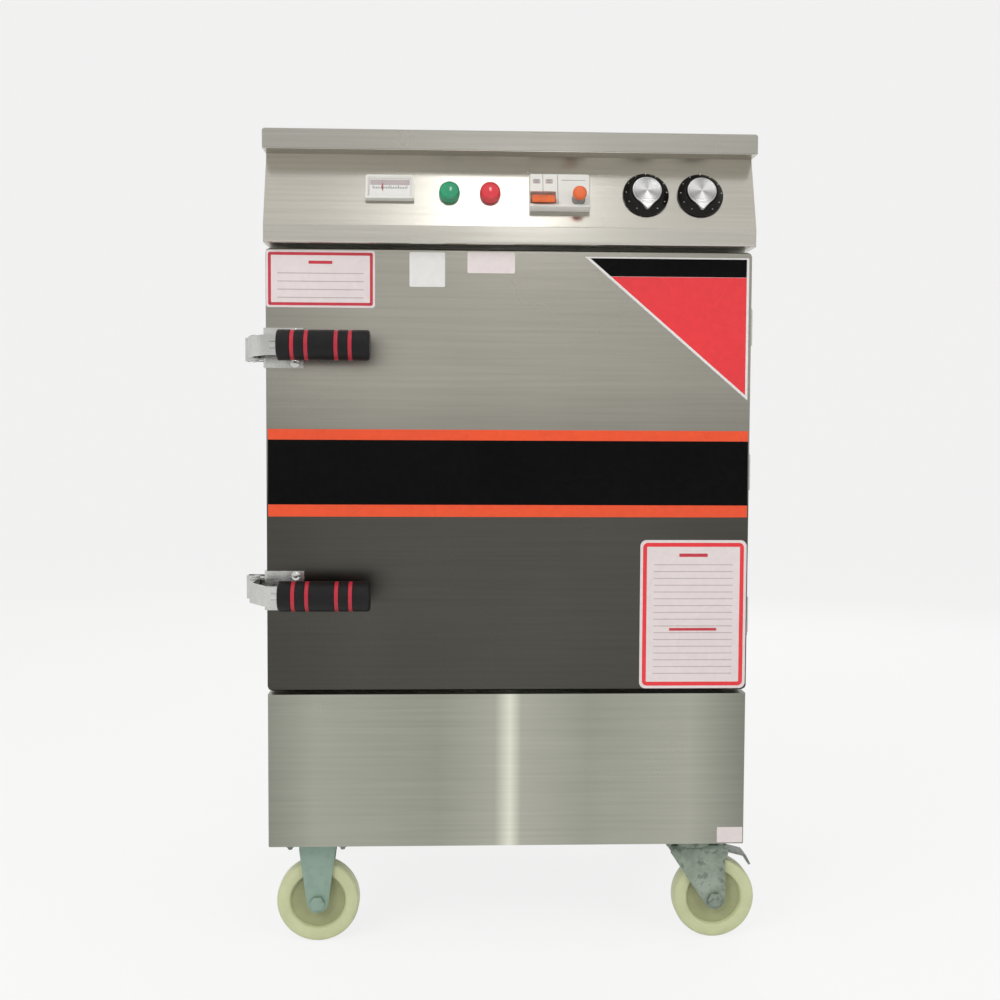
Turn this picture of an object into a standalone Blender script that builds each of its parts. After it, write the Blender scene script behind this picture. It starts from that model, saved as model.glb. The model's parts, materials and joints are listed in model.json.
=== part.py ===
"""Rice steamer cabinet: a stainless steam chamber with trays, one latched door, a sloping control
head and a base with the water tank, on two rigid and two swivel casters.

Metres, X to the viewer's right, Y to the back, Z up. Pieces are written in cabinet coordinates: X = 0
on the middle of the body, Y = 0 on the middle of the carcass, Z = 0 on the floor. The empty "cabinet"
shifts them all, so that the origin lies on the floor under the middle of the bounding box.
"""

import math

import bmesh
import bpy
from mathutils import Matrix, Vector

# Body: the heights stack up from the floor to the lid
CARCASS_DEPTH = 0.555
CASTER_HEIGHT = 0.160
BASE_HEIGHT = 0.225
BASE_TO_DOOR_GAP = 0.006
DOOR_HEIGHT = 0.637
DOOR_TO_HEAD_GAP = 0.005
HEAD_HEIGHT = 0.159

# Sheet metal
SHEET = 0.0012
BEND_RADIUS = 0.003
SEAT_GAP = 0.0003
RUNNING_GAP = 0.0003
CUT_OVERRUN = 0.004
ARC_STEPS = 2
WIDE_ARC_STEPS = 3
ROUND_STEPS = 16
PIN_STEPS = 10
HOLE_STEPS = 8
SHELL_RETURN = 0.025
CORNER_RADIUS = 0.006

# Chassis pan under the base
CHASSIS_SHEET = 0.0025
CHASSIS_EDGE = 0.025
NOTCH_CLEARANCE = 0.002

# Door
DOOR_THICKNESS = 0.037
GASKET_THICKNESS = 0.008
GASKET_WIDTH = 0.014
GASKET_LIP = 0.003
PLUG_REACH = 0.006
PLUG_CLEARANCE = 0.006
PLUG_TAPER = 0.005
LINER_RETURN = 0.012

# Steam chamber
CHAMBER_SIDE_WALL = 0.040
CHAMBER_LAP = 0.030
CHAMBER_DEPTH = 0.500
CHAMBER_CORNER = 0.012
FACE_FLANGE_MARGIN = 0.003

# Trays and their racks
TRAY_COUNT = 6
TRAY_PITCH = 0.088
FIRST_SHELF_HEIGHT = 0.062
TRAY_WIDTH = 0.600
TRAY_LENGTH = 0.400
TRAY_HEIGHT = 0.048
TRAY_RIM = 0.018
TRAY_CORNER = 0.030
TRAY_TAPER = 0.006
TRAY_SIDE_CLEARANCE = 0.010
RACK_SHEET = 0.0015
RACK_LEDGE_CLEARANCE = 0.0022
RACK_OVERHANG = 0.020
RACK_END_HEIGHT = 0.022
RACK_POST_WIDTH = 0.030
RACK_WINDOW_MARGIN = 0.014

# Water tank and heating element
TANK_SIDE_INSET = 0.040
TANK_END_INSET = 0.040
TANK_DEPTH = 0.110
TANK_FLANGE = 0.015
TANK_CORNER = 0.025
HEATER_TUBE_RADIUS = 0.005
HEATER_BEND = 0.030
HEATER_LIFT = 0.035
HEATER_WALL_MARGIN = 0.045
HEATER_SIDE_MARGIN = 0.060
HEATER_INNER_SPREAD = 0.070
HEATER_LEAD_SPREAD = 0.020
HEATER_RUN_SPACING = 0.050
HEATER_BOSS_RADIUS = 0.032
HEATER_FLANGE_RADIUS = 0.042
HEATER_FLANGE_THICKNESS = 0.006
HEATER_BOSS_LENGTH = 0.012
HEATER_CAP_RADIUS = 0.026
HEATER_CAP_LENGTH = 0.030

# Control head: its face leans back between a vertical band and the lid
HEAD_OVERHANG = 0.022
FACE_RECESS = 0.038
BAND_HEIGHT = 0.025
LID_EDGE_HEIGHT = 0.027
LID_EDGE_RADIUS = 0.002

# Controls, placed by X and by the distance up the sloping face
THERMOMETER_X, THERMOMETER_UP = -0.1725, 0.0575
THERMOMETER_WIDTH, THERMOMETER_HEIGHT = 0.069, 0.038
THERMOMETER_PROUD = 0.006
THERMOMETER_RIM = 0.004
THERMOMETER_DISH = 0.0025
THERMOMETER_BODY_MARGIN = 0.005
THERMOMETER_BODY_DEPTH = 0.020
CONTROL_CORNER = 0.002
LAMP_UP = 0.0505
GREEN_LAMP_X, RED_LAMP_X = -0.088, -0.030
LAMP_BEZEL_RADIUS = 0.015
LAMP_BEZEL_PROUD = 0.004
LAMP_LENS_RADIUS = 0.0125
LAMP_LENS_PROUD = 0.014
LAMP_NECK_RADIUS = 0.0108
LAMP_BODY_RADIUS = 0.0135
LAMP_BODY_LENGTH = 0.030
BREAKER_X, BREAKER_UP = 0.0688, 0.0515
BREAKER_WIDTH, BREAKER_HEIGHT = 0.086, 0.054
BREAKER_PROUD = 0.012
BREAKER_BODY_MARGIN = 0.004
BREAKER_BODY_DEPTH = 0.050
TOGGLE_FROM_CENTRE = -0.0240
TOGGLE_UP_FROM_CENTRE = -0.0110
TOGGLE_WIDTH = 0.036
TOGGLE_DRUM_RADIUS = 0.0060
TOGGLE_REACH = 0.0175
TOGGLE_FIN_WIDTH = 0.013
TOGGLE_FIN_THICKNESS = 0.006
TOGGLE_TIP_WIDTH = 0.005
TOGGLE_REST_DEG = 35.0
TOGGLE_SINK = 0.004
TOGGLE_POCKET_HEIGHT = 0.019
TOGGLE_POCKET_DEPTH = 0.0108
BUTTON_FROM_CENTRE = 0.0262
BUTTON_UP_FROM_CENTRE = -0.0140
BUTTON_RADIUS = 0.0100
BUTTON_CAP_HEIGHT = 0.0095
BUTTON_TRAVEL = 0.003
BUTTON_STEM_RADIUS = 0.0050
BUTTON_STEM_LENGTH = 0.018
SLEEVE_RADIUS = 0.0078
SLEEVE_LENGTH = 0.0120
KNOB_UP = 0.052
TEMPERATURE_KNOB_X, TIMER_KNOB_X = 0.193, 0.2715
KNOB_SKIRT_RADIUS = 0.033
KNOB_SHOULDER_RADIUS = 0.0235
KNOB_CAP_RADIUS = 0.021
KNOB_LIFT = 0.0008
KNOB_SKIRT_EDGE = 0.003
KNOB_SHOULDER_HEIGHT = 0.0135
KNOB_HEIGHT = 0.017
KNOB_POINTER_WIDTH = 0.012
KNOB_POINTER_REACH = 0.0255
KNOB_SHAFT_RADIUS = 0.003
SWITCH_WIDTH = 0.036
SWITCH_DEPTH = 0.030
SWITCH_BUSH_RADIUS = 0.0065
SWITCH_BUSH_LENGTH = 0.006
SWITCH_BORE_DEPTH = 0.014
SHAFT_END_CLEARANCE = 0.002

# Hinges
HINGE_LENGTH = 0.052
HINGE_LEAF_WIDTH = 0.026
HINGE_LEAF_THICKNESS = 0.0025
HINGE_KNUCKLE_RADIUS = 0.0055
HINGE_PIN_RADIUS = 0.0025
HINGE_PIN_HEAD_RADIUS = 0.0042
HINGE_PIN_HEAD_HEIGHT = 0.0025
HINGE_PIN_HEAD_SHARE = 0.55
HINGE_SWING_GAP = 0.0006
OUTER_HINGE_INSET = 0.105

# Latches
UPPER_LATCH_Z = 0.886
LOWER_LATCH_Z = 0.5375
LATCH_PIVOT_OUT = 0.0186
LATCH_PIVOT_BACK = 0.018
BRACKET_REACH = 0.054
BRACKET_HEIGHT = 0.057
BRACKET_SHEET = 0.003
BRACKET_WRAP = 0.034
BRACKET_BEND = 0.001
EAR_THICKNESS = 0.003
EAR_RADIUS = 0.009
PIVOT_PIN_RADIUS = 0.0045
PIVOT_PIN_HEAD_RADIUS = 0.0065
PIVOT_PIN_HEAD_HEIGHT = 0.003
SCREW_INSET = 0.012
SCREW_FROM_CENTRE = 0.0215
SCREW_HEAD_RADIUS = 0.0065
SCREW_HEAD_HEIGHT = 0.0045
LEVER_HEIGHT = 0.028
LEVER_SHEET = 0.005
LEVER_BEND = 0.020
LEVER_BARREL_RADIUS = 0.009
LEVER_STEP_OUT = 0.046
GRIP_STANDOFF = 0.068
GRIP_START_INSET = 0.025
GRIP_LENGTH = 0.128
GRIP_RADIUS = 0.0213
GRIP_END_ROUND = 0.004
GRIP_GROOVE_DEPTH = 0.0012
GRIP_GROOVE_WIDTH = 0.007
GRIP_GROOVE_SHARES = (0.17, 0.32, 0.64, 0.79)
TANG_RADIUS = 0.006
TANG_LENGTH = 0.105
FINGER_THICKNESS = 0.005
FINGER_LENGTH = 0.034
FINGER_HEIGHT = 0.020
HOOK_REACH = 0.005
HOOK_DEPTH = 0.0085
HOOK_BEVEL = 0.002
KEEPER_SHEET = 0.0025
KEEPER_ARM_OUT = 0.0145
KEEPER_LIP_CLEARANCE = 0.001
KEEPER_LIP_GAP = 0.0025
KEEPER_BEND = 0.003
KEEPER_FOOT = 0.025
KEEPER_END_CLEARANCE = 0.005
KEEPER_HEIGHT = 0.034

# Casters
CASTER_SIDE_INSET = 0.067
CASTER_END_INSET = 0.062
WHEEL_RADIUS = 0.0625
WHEEL_WIDTH = 0.032
WHEEL_STEPS = 20
WHEEL_RIM = 0.0145
WHEEL_WEB = 0.016
WHEEL_RIM_SLOPE = 0.003
HUB_RADIUS = 0.014
HUB_WIDTH = 0.036
AXLE_RADIUS = 0.006
AXLE_NUT_RADIUS = 0.011
AXLE_NUT_THICKNESS = 0.006
FORK_CLEARANCE = 0.0005
FORK_SHEET = 0.003
FORK_BEND = 0.007
FORK_TOE_RADIUS = 0.016
PLATE_WIDTH = 0.100
PLATE_LENGTH = 0.084
PLATE_THICKNESS = 0.004
PLATE_CORNER = 0.008
PLATE_HOLE_RADIUS = 0.0045
PLATE_HOLE_INSET = 0.011
RIGID_FORK_WIDTH = 0.054
RIGID_SHOULDER_DROP = 0.016
TRAIL = 0.0335
RACEWAY_RADIUS = 0.033
RACEWAY_HEIGHT = 0.006
RACEWAY_ROUND = 0.0015
CROWN_RADIUS = 0.031
CROWN_HEIGHT = 0.0045
CROWN_WIDTH = 0.068
CROWN_DROP = 0.012
KINGPIN_RADIUS = 0.006
KINGPIN_HEAD_RADIUS = 0.010
KINGPIN_HEAD_HEIGHT = 0.004
PEDAL_X = 0.044
PEDAL_BELOW_TOP = 0.0265
PEDAL_BOSS_RADIUS = 0.006
PEDAL_PIN_RADIUS = 0.003
PEDAL_WIDTH = 0.032
PEDAL_THICKNESS = 0.0035
PEDAL_ARM_LENGTH = 0.037
PEDAL_ARM_DROP = 0.007
PEDAL_TOE_LENGTH = 0.008
PEDAL_TOE_DROP = 0.013
PEDAL_BEND = 0.004
PEDAL_EAR_RADIUS = 0.010

# Rear fittings
VENT_X = 0.200
VENT_BELOW_CHAMBER_TOP = 0.065
VENT_RADIUS = 0.016
VENT_BORE_RADIUS = 0.0145
VENT_REACH = 0.042
VENT_RISE = 0.060
VENT_BEND = 0.030
VENT_FLANGE_RADIUS = 0.030
VENT_FLANGE_THICKNESS = 0.003
FEED_X = 0.160
FEED_TANK_WIDTH = 0.160
FEED_TANK_HEIGHT = 0.130
FEED_TANK_DEPTH = 0.072
FEED_LID_THICKNESS = 0.006
FEED_LID_LAP = 0.004
FEED_PIPE_RADIUS = 0.009
FEED_PIPE_LIFT = 0.050
FEED_BELOW_PIPE = 0.045
FEED_INLET_RADIUS = 0.0105
FEED_INLET_LENGTH = 0.022
FEED_INLET_BELOW_LID = 0.032
DRAIN_X = -0.190
DRAIN_LIFT = 0.022
DRAIN_PIPE_RADIUS = 0.0105
DRAIN_LOCKNUT_RADIUS = 0.017
DRAIN_LOCKNUT_THICKNESS = 0.005
DRAIN_HEX_RADIUS = 0.0155
DRAIN_HEX_LENGTH = 0.012
DRAIN_BALL_RADIUS = 0.019
DRAIN_BALL_LENGTH = 0.026
DRAIN_OUT_LENGTH = 0.020
DRAIN_STANDOFF = 0.010
DRAIN_BORE_RADIUS = 0.007
STEM_RADIUS = 0.0045
STEM_HEIGHT = 0.028
STEM_COLLAR_RADIUS = 0.0075
STEM_COLLAR_HEIGHT = 0.023
HANDLE_WIDTH = 0.016
HANDLE_THICKNESS = 0.0025
HANDLE_LENGTH = 0.085
HANDLE_CRANK = 0.008
HANDLE_CRANK_SHARE = 0.22
HANDLE_CRANK_END_SHARE = 0.38
GLAND_SIDE_INSET = 0.070
GLAND_Z = 0.250
GLAND_THREAD_RADIUS = 0.009
GLAND_BODY_RADIUS = 0.013
GLAND_DOME_RADIUS = 0.0105
GLAND_BODY_LENGTH = 0.010
GLAND_DOME_LENGTH = 0.014
GLAND_NUT_THICKNESS = 0.005
GLAND_BORE_RADIUS = 0.005

# Heights
BASE_TOP = CASTER_HEIGHT + BASE_HEIGHT
DOOR_BOTTOM = BASE_TOP + BASE_TO_DOOR_GAP
DOOR_TOP = DOOR_BOTTOM + DOOR_HEIGHT
HEAD_BOTTOM = DOOR_TOP + DOOR_TO_HEAD_GAP
HEAD_TOP = HEAD_BOTTOM + HEAD_HEIGHT
LID_BOTTOM = HEAD_TOP - LID_EDGE_HEIGHT
BODY_BOTTOM = CASTER_HEIGHT + SEAT_GAP
CHAMBER_BOTTOM = DOOR_BOTTOM + CHAMBER_LAP
CHAMBER_TOP = DOOR_TOP - CHAMBER_LAP
TANK_TOP = CHAMBER_BOTTOM - SHEET - SEAT_GAP
TANK_BOTTOM = TANK_TOP - TANK_DEPTH

# Widths, from the trays outwards
CHAMBER_WIDTH = TRAY_WIDTH + 2 * TRAY_SIDE_CLEARANCE
BODY_WIDTH = CHAMBER_WIDTH + 2 * CHAMBER_SIDE_WALL
HALF_WIDTH = BODY_WIDTH / 2
GLAND_X = -HALF_WIDTH + GLAND_SIDE_INSET
TANK_WIDTH = CHAMBER_WIDTH - 2 * TANK_SIDE_INSET

# Planes across Y, from front to back
FACE_Y = -CARCASS_DEPTH / 2
BACK_Y = CARCASS_DEPTH / 2
SHELL_FRONT_Y = FACE_Y + SHEET + SEAT_GAP
DOOR_BACK_Y = FACE_Y - GASKET_THICKNESS
DOOR_FRONT_Y = DOOR_BACK_Y - DOOR_THICKNESS
BAND_Y = DOOR_FRONT_Y - HEAD_OVERHANG
FACE_TOP_Y = BAND_Y + FACE_RECESS
CHAMBER_BACK_Y = FACE_Y + CHAMBER_DEPTH
CHAMBER_MIDDLE_Y = FACE_Y + CHAMBER_DEPTH / 2
CHAMBER_HEIGHT = CHAMBER_TOP - CHAMBER_BOTTOM
CHAMBER_MIDDLE_Z = (CHAMBER_TOP + CHAMBER_BOTTOM) / 2
TANK_LENGTH = CHAMBER_DEPTH - 2 * TANK_END_INSET
TANK_BACK_Y = CHAMBER_MIDDLE_Y + TANK_LENGTH / 2
RACK_LENGTH = TRAY_LENGTH + 2 * RACK_OVERHANG

# The sloping face of the head
FACE_RISE = LID_BOTTOM - HEAD_BOTTOM - BAND_HEIGHT
FACE_TILT = math.atan2(FACE_RECESS, FACE_RISE)

# Joint axes
HINGE_X = HALF_WIDTH + SEAT_GAP + HINGE_KNUCKLE_RADIUS
HINGE_Y = DOOR_BACK_Y + GASKET_THICKNESS / 2
LATCH_X = -HALF_WIDTH - LATCH_PIVOT_OUT
LATCH_Y = DOOR_FRONT_Y + LATCH_PIVOT_BACK
AXLE_Z = WHEEL_RADIUS * math.cos(math.pi / WHEEL_STEPS)
PEDAL_Z = CASTER_HEIGHT - PEDAL_BELOW_TOP
CASTER_X = HALF_WIDTH - CASTER_SIDE_INSET
FRONT_CASTER_Y = DOOR_FRONT_Y + CASTER_END_INSET
REAR_CASTER_Y = BACK_Y - CASTER_END_INSET
DRAIN_BODY_Y = BACK_Y + DRAIN_STANDOFF + DRAIN_HEX_LENGTH + DRAIN_BALL_LENGTH / 2
DRAIN_Z = TANK_BOTTOM + DRAIN_LIFT

# The keeper's arm stands this far left of the latch pin, and sets how far the object reaches that way
HOOK_TIP_X = -FINGER_THICKNESS / 2 - HOOK_REACH
KEEPER_LIP_X = HOOK_TIP_X - KEEPER_LIP_CLEARANCE
LEFT_REACH = HALF_WIDTH + LATCH_PIVOT_OUT + KEEPER_ARM_OUT + KEEPER_SHEET
RIGHT_REACH = CASTER_X + TRAIL + WHEEL_RADIUS
FRONT_REACH = -DOOR_FRONT_Y + GRIP_STANDOFF + GRIP_RADIUS
DRAIN_END_Y = DRAIN_BODY_Y + DRAIN_BALL_LENGTH / 2 + DRAIN_HEX_LENGTH + DRAIN_OUT_LENGTH
ORIGIN_SHIFT = Vector(((LEFT_REACH - RIGHT_REACH) / 2, (FRONT_REACH - DRAIN_END_Y) / 2, 0))

SHARP_ANGLE = math.radians(32)


def clear_scene():
    for obj in list(bpy.data.objects):
        bpy.data.objects.remove(obj, do_unlink=True)


def make_material(name, colour, roughness, metallic=0.0):
    material = bpy.data.materials.new(name)
    material.use_nodes = True
    shader = material.node_tree.nodes["Principled BSDF"]
    shader.inputs["Base Color"].default_value = (*colour, 1.0)
    shader.inputs["Roughness"].default_value = roughness
    shader.inputs["Metallic"].default_value = metallic
    material.diffuse_color = (*colour, 1.0)
    return material


def lifted(point, axis, height):
    """A flat point (a, b) as a 3D one, at this height along the axis."""
    a, b = point
    return {"X": (height, a, b), "Y": (a, height, b), "Z": (a, b, height)}[axis]


def rounded(corners, radius, closed=True, steps=ARC_STEPS):
    """The corners of a flat outline or path, each turned into an arc of this radius."""
    points = []
    count = len(corners)
    for i, corner in enumerate(corners):
        here = Vector(corner)
        if radius == 0 or (not closed and i in (0, count - 1)):
            points.append(here)
            continue
        arriving = (here - Vector(corners[i - 1])).normalized()
        leaving = (Vector(corners[(i + 1) % count]) - here).normalized()
        turn = math.atan2(arriving.x * leaving.y - arriving.y * leaving.x, arriving.dot(leaving))
        side = Vector((-arriving.y, arriving.x)) * math.copysign(radius, turn)
        centre = here - arriving * radius * math.tan(abs(turn) / 2) + side
        for step in range(steps + 1):
            points.append(centre - Matrix.Rotation(turn * step / steps, 2) @ side)
    return points


def rectangle(width, height, radius=0.0, centre=(0, 0), steps=ARC_STEPS):
    a, b = width / 2, height / 2
    corners = [(-a, -b), (a, -b), (a, b), (-a, b)]
    return [point + Vector(centre) for point in rounded(corners, radius, steps=steps)]


def circle(radius, steps=ROUND_STEPS, centre=(0, 0)):
    turn = 2 * math.pi / steps
    return [
        Vector((radius * math.cos(turn * i), radius * math.sin(turn * i))) + Vector(centre)
        for i in range(steps)
    ]


def folded_sheet(corners, thickness, radius):
    """Outline of a sheet folded along these corners, its thickness on the right of the path."""
    path = rounded(corners, radius, closed=False)
    inner = []
    for i, point in enumerate(path):
        before = (point - path[i - 1]).normalized() if i else (path[1] - point).normalized()
        after = (path[i + 1] - point).normalized() if i < len(path) - 1 else before
        normal = Vector((before.y, -before.x))
        middle = (normal + Vector((after.y, -after.x))).normalized()
        inner.append(point + middle * thickness / middle.dot(normal))
    return path + inner[::-1]


def lofted(loops, ring=False):
    """A solid through closed loops of as many points each: capped at both ends, or joined to a ring."""
    bm = bmesh.new()
    rows = [[bm.verts.new(point) for point in loop] for loop in loops]
    pairs = list(zip(rows, rows[1:]))
    if ring:
        pairs.append((rows[-1], rows[0]))
    else:
        bm.faces.new(rows[0])
        bm.faces.new(rows[-1])
    for low, high in pairs:
        for i in range(len(low)):
            j = (i + 1) % len(low)
            bm.faces.new((low[i], low[j], high[j], high[i]))
    return bm


def prism(outline, axis, low, high):
    return lofted([[lifted(point, axis, height) for point in outline] for height in (low, high)])


def stacked(sections, axis, ring=False):
    """A solid through flat outlines, each given with its height along the axis."""
    return lofted(
        [[lifted(point, axis, height) for point in outline] for outline, height in sections],
        ring=ring,
    )


def box(low, high):
    return prism(
        [(low[0], low[1]), (high[0], low[1]), (high[0], high[1]), (low[0], high[1])],
        "Z",
        low[2],
        high[2],
    )


def turned(profile, axis, steps=ROUND_STEPS, bored=False, start=0.0):
    """A profile of (radius, height) points spun about the axis; a bored one closes on itself."""
    bm = bmesh.new()
    point = {
        "X": lambda r, h: (h, r, 0),
        "Y": lambda r, h: (0, h, r),
        "Z": lambda r, h: (r, 0, h),
    }[axis]
    verts = [bm.verts.new(point(radius, height)) for radius, height in profile]
    edges = [bm.edges.new(pair) for pair in zip(verts, verts[1:])]
    if bored:
        edges.append(bm.edges.new((verts[-1], verts[0])))
    direction = Vector(lifted((0, 0), axis, 1))
    bmesh.ops.rotate(bm, verts=verts, cent=(0, 0, 0), matrix=Matrix.Rotation(start, 3, direction))
    bmesh.ops.spin(
        bm,
        geom=verts + edges,
        cent=(0, 0, 0),
        axis=direction,
        angle=2 * math.pi,
        steps=steps,
        use_merge=True,
    )
    closest = min(edge.calc_length() for edge in bm.edges if edge.calc_length() > 0 or bored)
    bmesh.ops.remove_doubles(bm, verts=bm.verts, dist=max(closest, RUNNING_GAP) / 1000)
    return bm


def moved(bm, offset):
    bmesh.ops.translate(bm, verts=bm.verts, vec=Vector(offset))
    return bm


def gathered(shapes):
    """Separate shapes as one mesh, for use as a single tool."""
    whole = bmesh.new()
    for shape in shapes:
        mesh = bpy.data.meshes.new("gathered")
        shape.to_mesh(mesh)
        shape.free()
        whole.from_mesh(mesh)
        bpy.data.meshes.remove(mesh)
    return whole


def mesh_object(name, bm, parent, at):
    bmesh.ops.recalc_face_normals(bm, faces=bm.faces)
    mesh = bpy.data.meshes.new(name)
    bm.to_mesh(mesh)
    bm.free()
    mesh.shade_smooth()
    mesh.set_sharp_from_angle(angle=SHARP_ANGLE)
    obj = bpy.data.objects.new(name, mesh)
    bpy.context.collection.objects.link(obj)
    obj.parent = parent
    obj.location = at
    return obj


def node(name, bm, material, parent, at=(0, 0, 0)):
    """One sub-part, under the empty that carries it."""
    obj = mesh_object(name, bm, parent, at)
    obj.data.materials.append(material)
    return obj


def boolean(target, shapes, operation):
    for shape in shapes:
        name = f"{target.name}_{operation.lower()}_{len(target.modifiers)}"
        tool = mesh_object(name, shape, target.parent, target.location)
        tool.hide_render = True
        tool.display_type = "WIRE"
        modifier = target.modifiers.new(name, "BOOLEAN")
        modifier.operation = operation
        modifier.object = tool
    return target


def cut(target, *shapes):
    return boolean(target, shapes, "DIFFERENCE")


def fuse(target, *shapes):
    return boolean(target, shapes, "UNION")


def keep_common(target, *shapes):
    return boolean(target, shapes, "INTERSECT")


def axis_empty(name, parent, at, tilt=0.0):
    """An empty on a joint's axis, or the frame of a group of pieces, in its parent's coordinates."""
    empty = bpy.data.objects.new(name, None)
    bpy.context.collection.objects.link(empty)
    empty.parent = parent
    empty.location = at
    empty.rotation_euler = (tilt, 0, 0)
    return empty


def cylinder(axis, radius, low, high, steps=ROUND_STEPS, centre=(0, 0)):
    return prism(circle(radius, steps, centre), axis, low, high)


def tube(name, points, radius, resolution=1):
    """A round bar along a path, as a mesh that a Boolean can use."""
    curve = bpy.data.curves.new(name, "CURVE")
    curve.dimensions = "3D"
    curve.bevel_depth = radius
    curve.bevel_resolution = resolution
    curve.use_fill_caps = True
    spline = curve.splines.new("POLY")
    spline.points.add(len(points) - 1)
    for target, point in zip(spline.points, points):
        target.co = (*point, 1)
    guide = bpy.data.objects.new(name, curve)
    bpy.context.collection.objects.link(guide)
    graph = bpy.context.evaluated_depsgraph_get()
    bm = bmesh.new()
    bm.from_mesh(bpy.data.meshes.new_from_object(guide.evaluated_get(graph)))
    bpy.data.objects.remove(guide)
    bmesh.ops.remove_doubles(bm, verts=bm.verts, dist=RUNNING_GAP / 100)
    return bm


def rear_holes():
    """Each fitting that passes the back wall: (X, Z, radius)."""
    return {
        "vent": (VENT_X, CHAMBER_TOP - VENT_BELOW_CHAMBER_TOP, VENT_RADIUS),
        "feed": (FEED_X, TANK_BOTTOM + FEED_PIPE_LIFT, FEED_PIPE_RADIUS),
        "drain": (DRAIN_X, DRAIN_Z, DRAIN_PIPE_RADIUS),
        "gland": (GLAND_X, GLAND_Z, GLAND_THREAD_RADIUS),
    }


def hole_through_wall(fitting, wall_y):
    x, z, radius = rear_holes()[fitting]
    low, high = wall_y - SHEET - CUT_OVERRUN, wall_y + SHEET + CUT_OVERRUN
    return cylinder("Y", radius + SEAT_GAP, low, high, centre=(x, z))


def make_outer_shell(steel, cabinet):
    """One sheet wrapped round the sides and back, with a return down each front edge."""
    corners = [
        (-HALF_WIDTH + SHELL_RETURN, SHELL_FRONT_Y),
        (-HALF_WIDTH, SHELL_FRONT_Y),
        (-HALF_WIDTH, BACK_Y),
        (HALF_WIDTH, BACK_Y),
        (HALF_WIDTH, SHELL_FRONT_Y),
        (HALF_WIDTH - SHELL_RETURN, SHELL_FRONT_Y),
    ]
    profile = folded_sheet(corners, SHEET, BEND_RADIUS)
    top = HEAD_TOP - SHEET - SEAT_GAP
    shell = node("outer_shell", prism(profile, "Z", BODY_BOTTOM, top), steel, cabinet)
    inside = HALF_WIDTH - SHEET - SEAT_GAP
    notch = box(
        (-inside, SHELL_FRONT_Y - CUT_OVERRUN, BODY_BOTTOM - CUT_OVERRUN),
        (inside, SHELL_FRONT_Y + SHEET + CUT_OVERRUN, BODY_BOTTOM + CHASSIS_EDGE + NOTCH_CLEARANCE),
    )
    holes = gathered([hole_through_wall(fitting, BACK_Y) for fitting in rear_holes()])
    return cut(shell, notch, holes)


def make_inner_chamber(steel, cabinet):
    """The steam chamber, open to the front, with the face flange that the door closes on."""
    centre = (0, CHAMBER_MIDDLE_Z)
    inner = rectangle(CHAMBER_WIDTH, CHAMBER_HEIGHT, CHAMBER_CORNER, centre)
    outer = rectangle(
        CHAMBER_WIDTH + 2 * SHEET, CHAMBER_HEIGHT + 2 * SHEET, CHAMBER_CORNER + SHEET, centre
    )
    flange = rectangle(
        BODY_WIDTH, DOOR_HEIGHT + 2 * FACE_FLANGE_MARGIN, BEND_RADIUS, (0, (DOOR_BOTTOM + DOOR_TOP) / 2)
    )
    sections = [
        (outer, CHAMBER_BACK_Y + SHEET),
        (outer, FACE_Y + SHEET),
        (flange, FACE_Y + SHEET),
        (flange, FACE_Y),
        (inner, FACE_Y),
        (inner, CHAMBER_BACK_Y),
    ]
    chamber = node("inner_chamber", stacked(sections, "Y"), steel, cabinet)
    tank_mouth = rectangle(TANK_WIDTH, TANK_LENGTH, TANK_CORNER, (0, CHAMBER_MIDDLE_Y))
    mouth = prism(
        tank_mouth, "Z", CHAMBER_BOTTOM - SHEET - CUT_OVERRUN, CHAMBER_BOTTOM + CUT_OVERRUN
    )
    return cut(chamber, mouth, hole_through_wall("vent", CHAMBER_BACK_Y))


def make_water_tank(steel, cabinet):
    """The pan under the chamber floor, hung by its flange."""
    centre = (0, CHAMBER_MIDDLE_Y)
    inner = rectangle(TANK_WIDTH, TANK_LENGTH, TANK_CORNER, centre)
    outer = rectangle(TANK_WIDTH + 2 * SHEET, TANK_LENGTH + 2 * SHEET, TANK_CORNER + SHEET, centre)
    flange = rectangle(
        TANK_WIDTH + 2 * TANK_FLANGE, TANK_LENGTH + 2 * TANK_FLANGE, TANK_CORNER, centre
    )
    sections = [
        (outer, TANK_BOTTOM - SHEET),
        (outer, TANK_TOP - SHEET),
        (flange, TANK_TOP - SHEET),
        (flange, TANK_TOP),
        (inner, TANK_TOP),
        (inner, TANK_BOTTOM),
    ]
    tank = node("water_tank", stacked(sections, "Z"), steel, cabinet)
    low, high = TANK_BACK_Y - CUT_OVERRUN, TANK_BACK_Y + SHEET + CUT_OVERRUN
    boss_hole = cylinder(
        "Y", HEATER_BOSS_RADIUS + SEAT_GAP, low, high, centre=(0, TANK_BOTTOM + HEATER_LIFT)
    )
    pipes = [hole_through_wall(fitting, TANK_BACK_Y) for fitting in ("feed", "drain")]
    return cut(tank, gathered([boss_hole, *pipes]))


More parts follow.
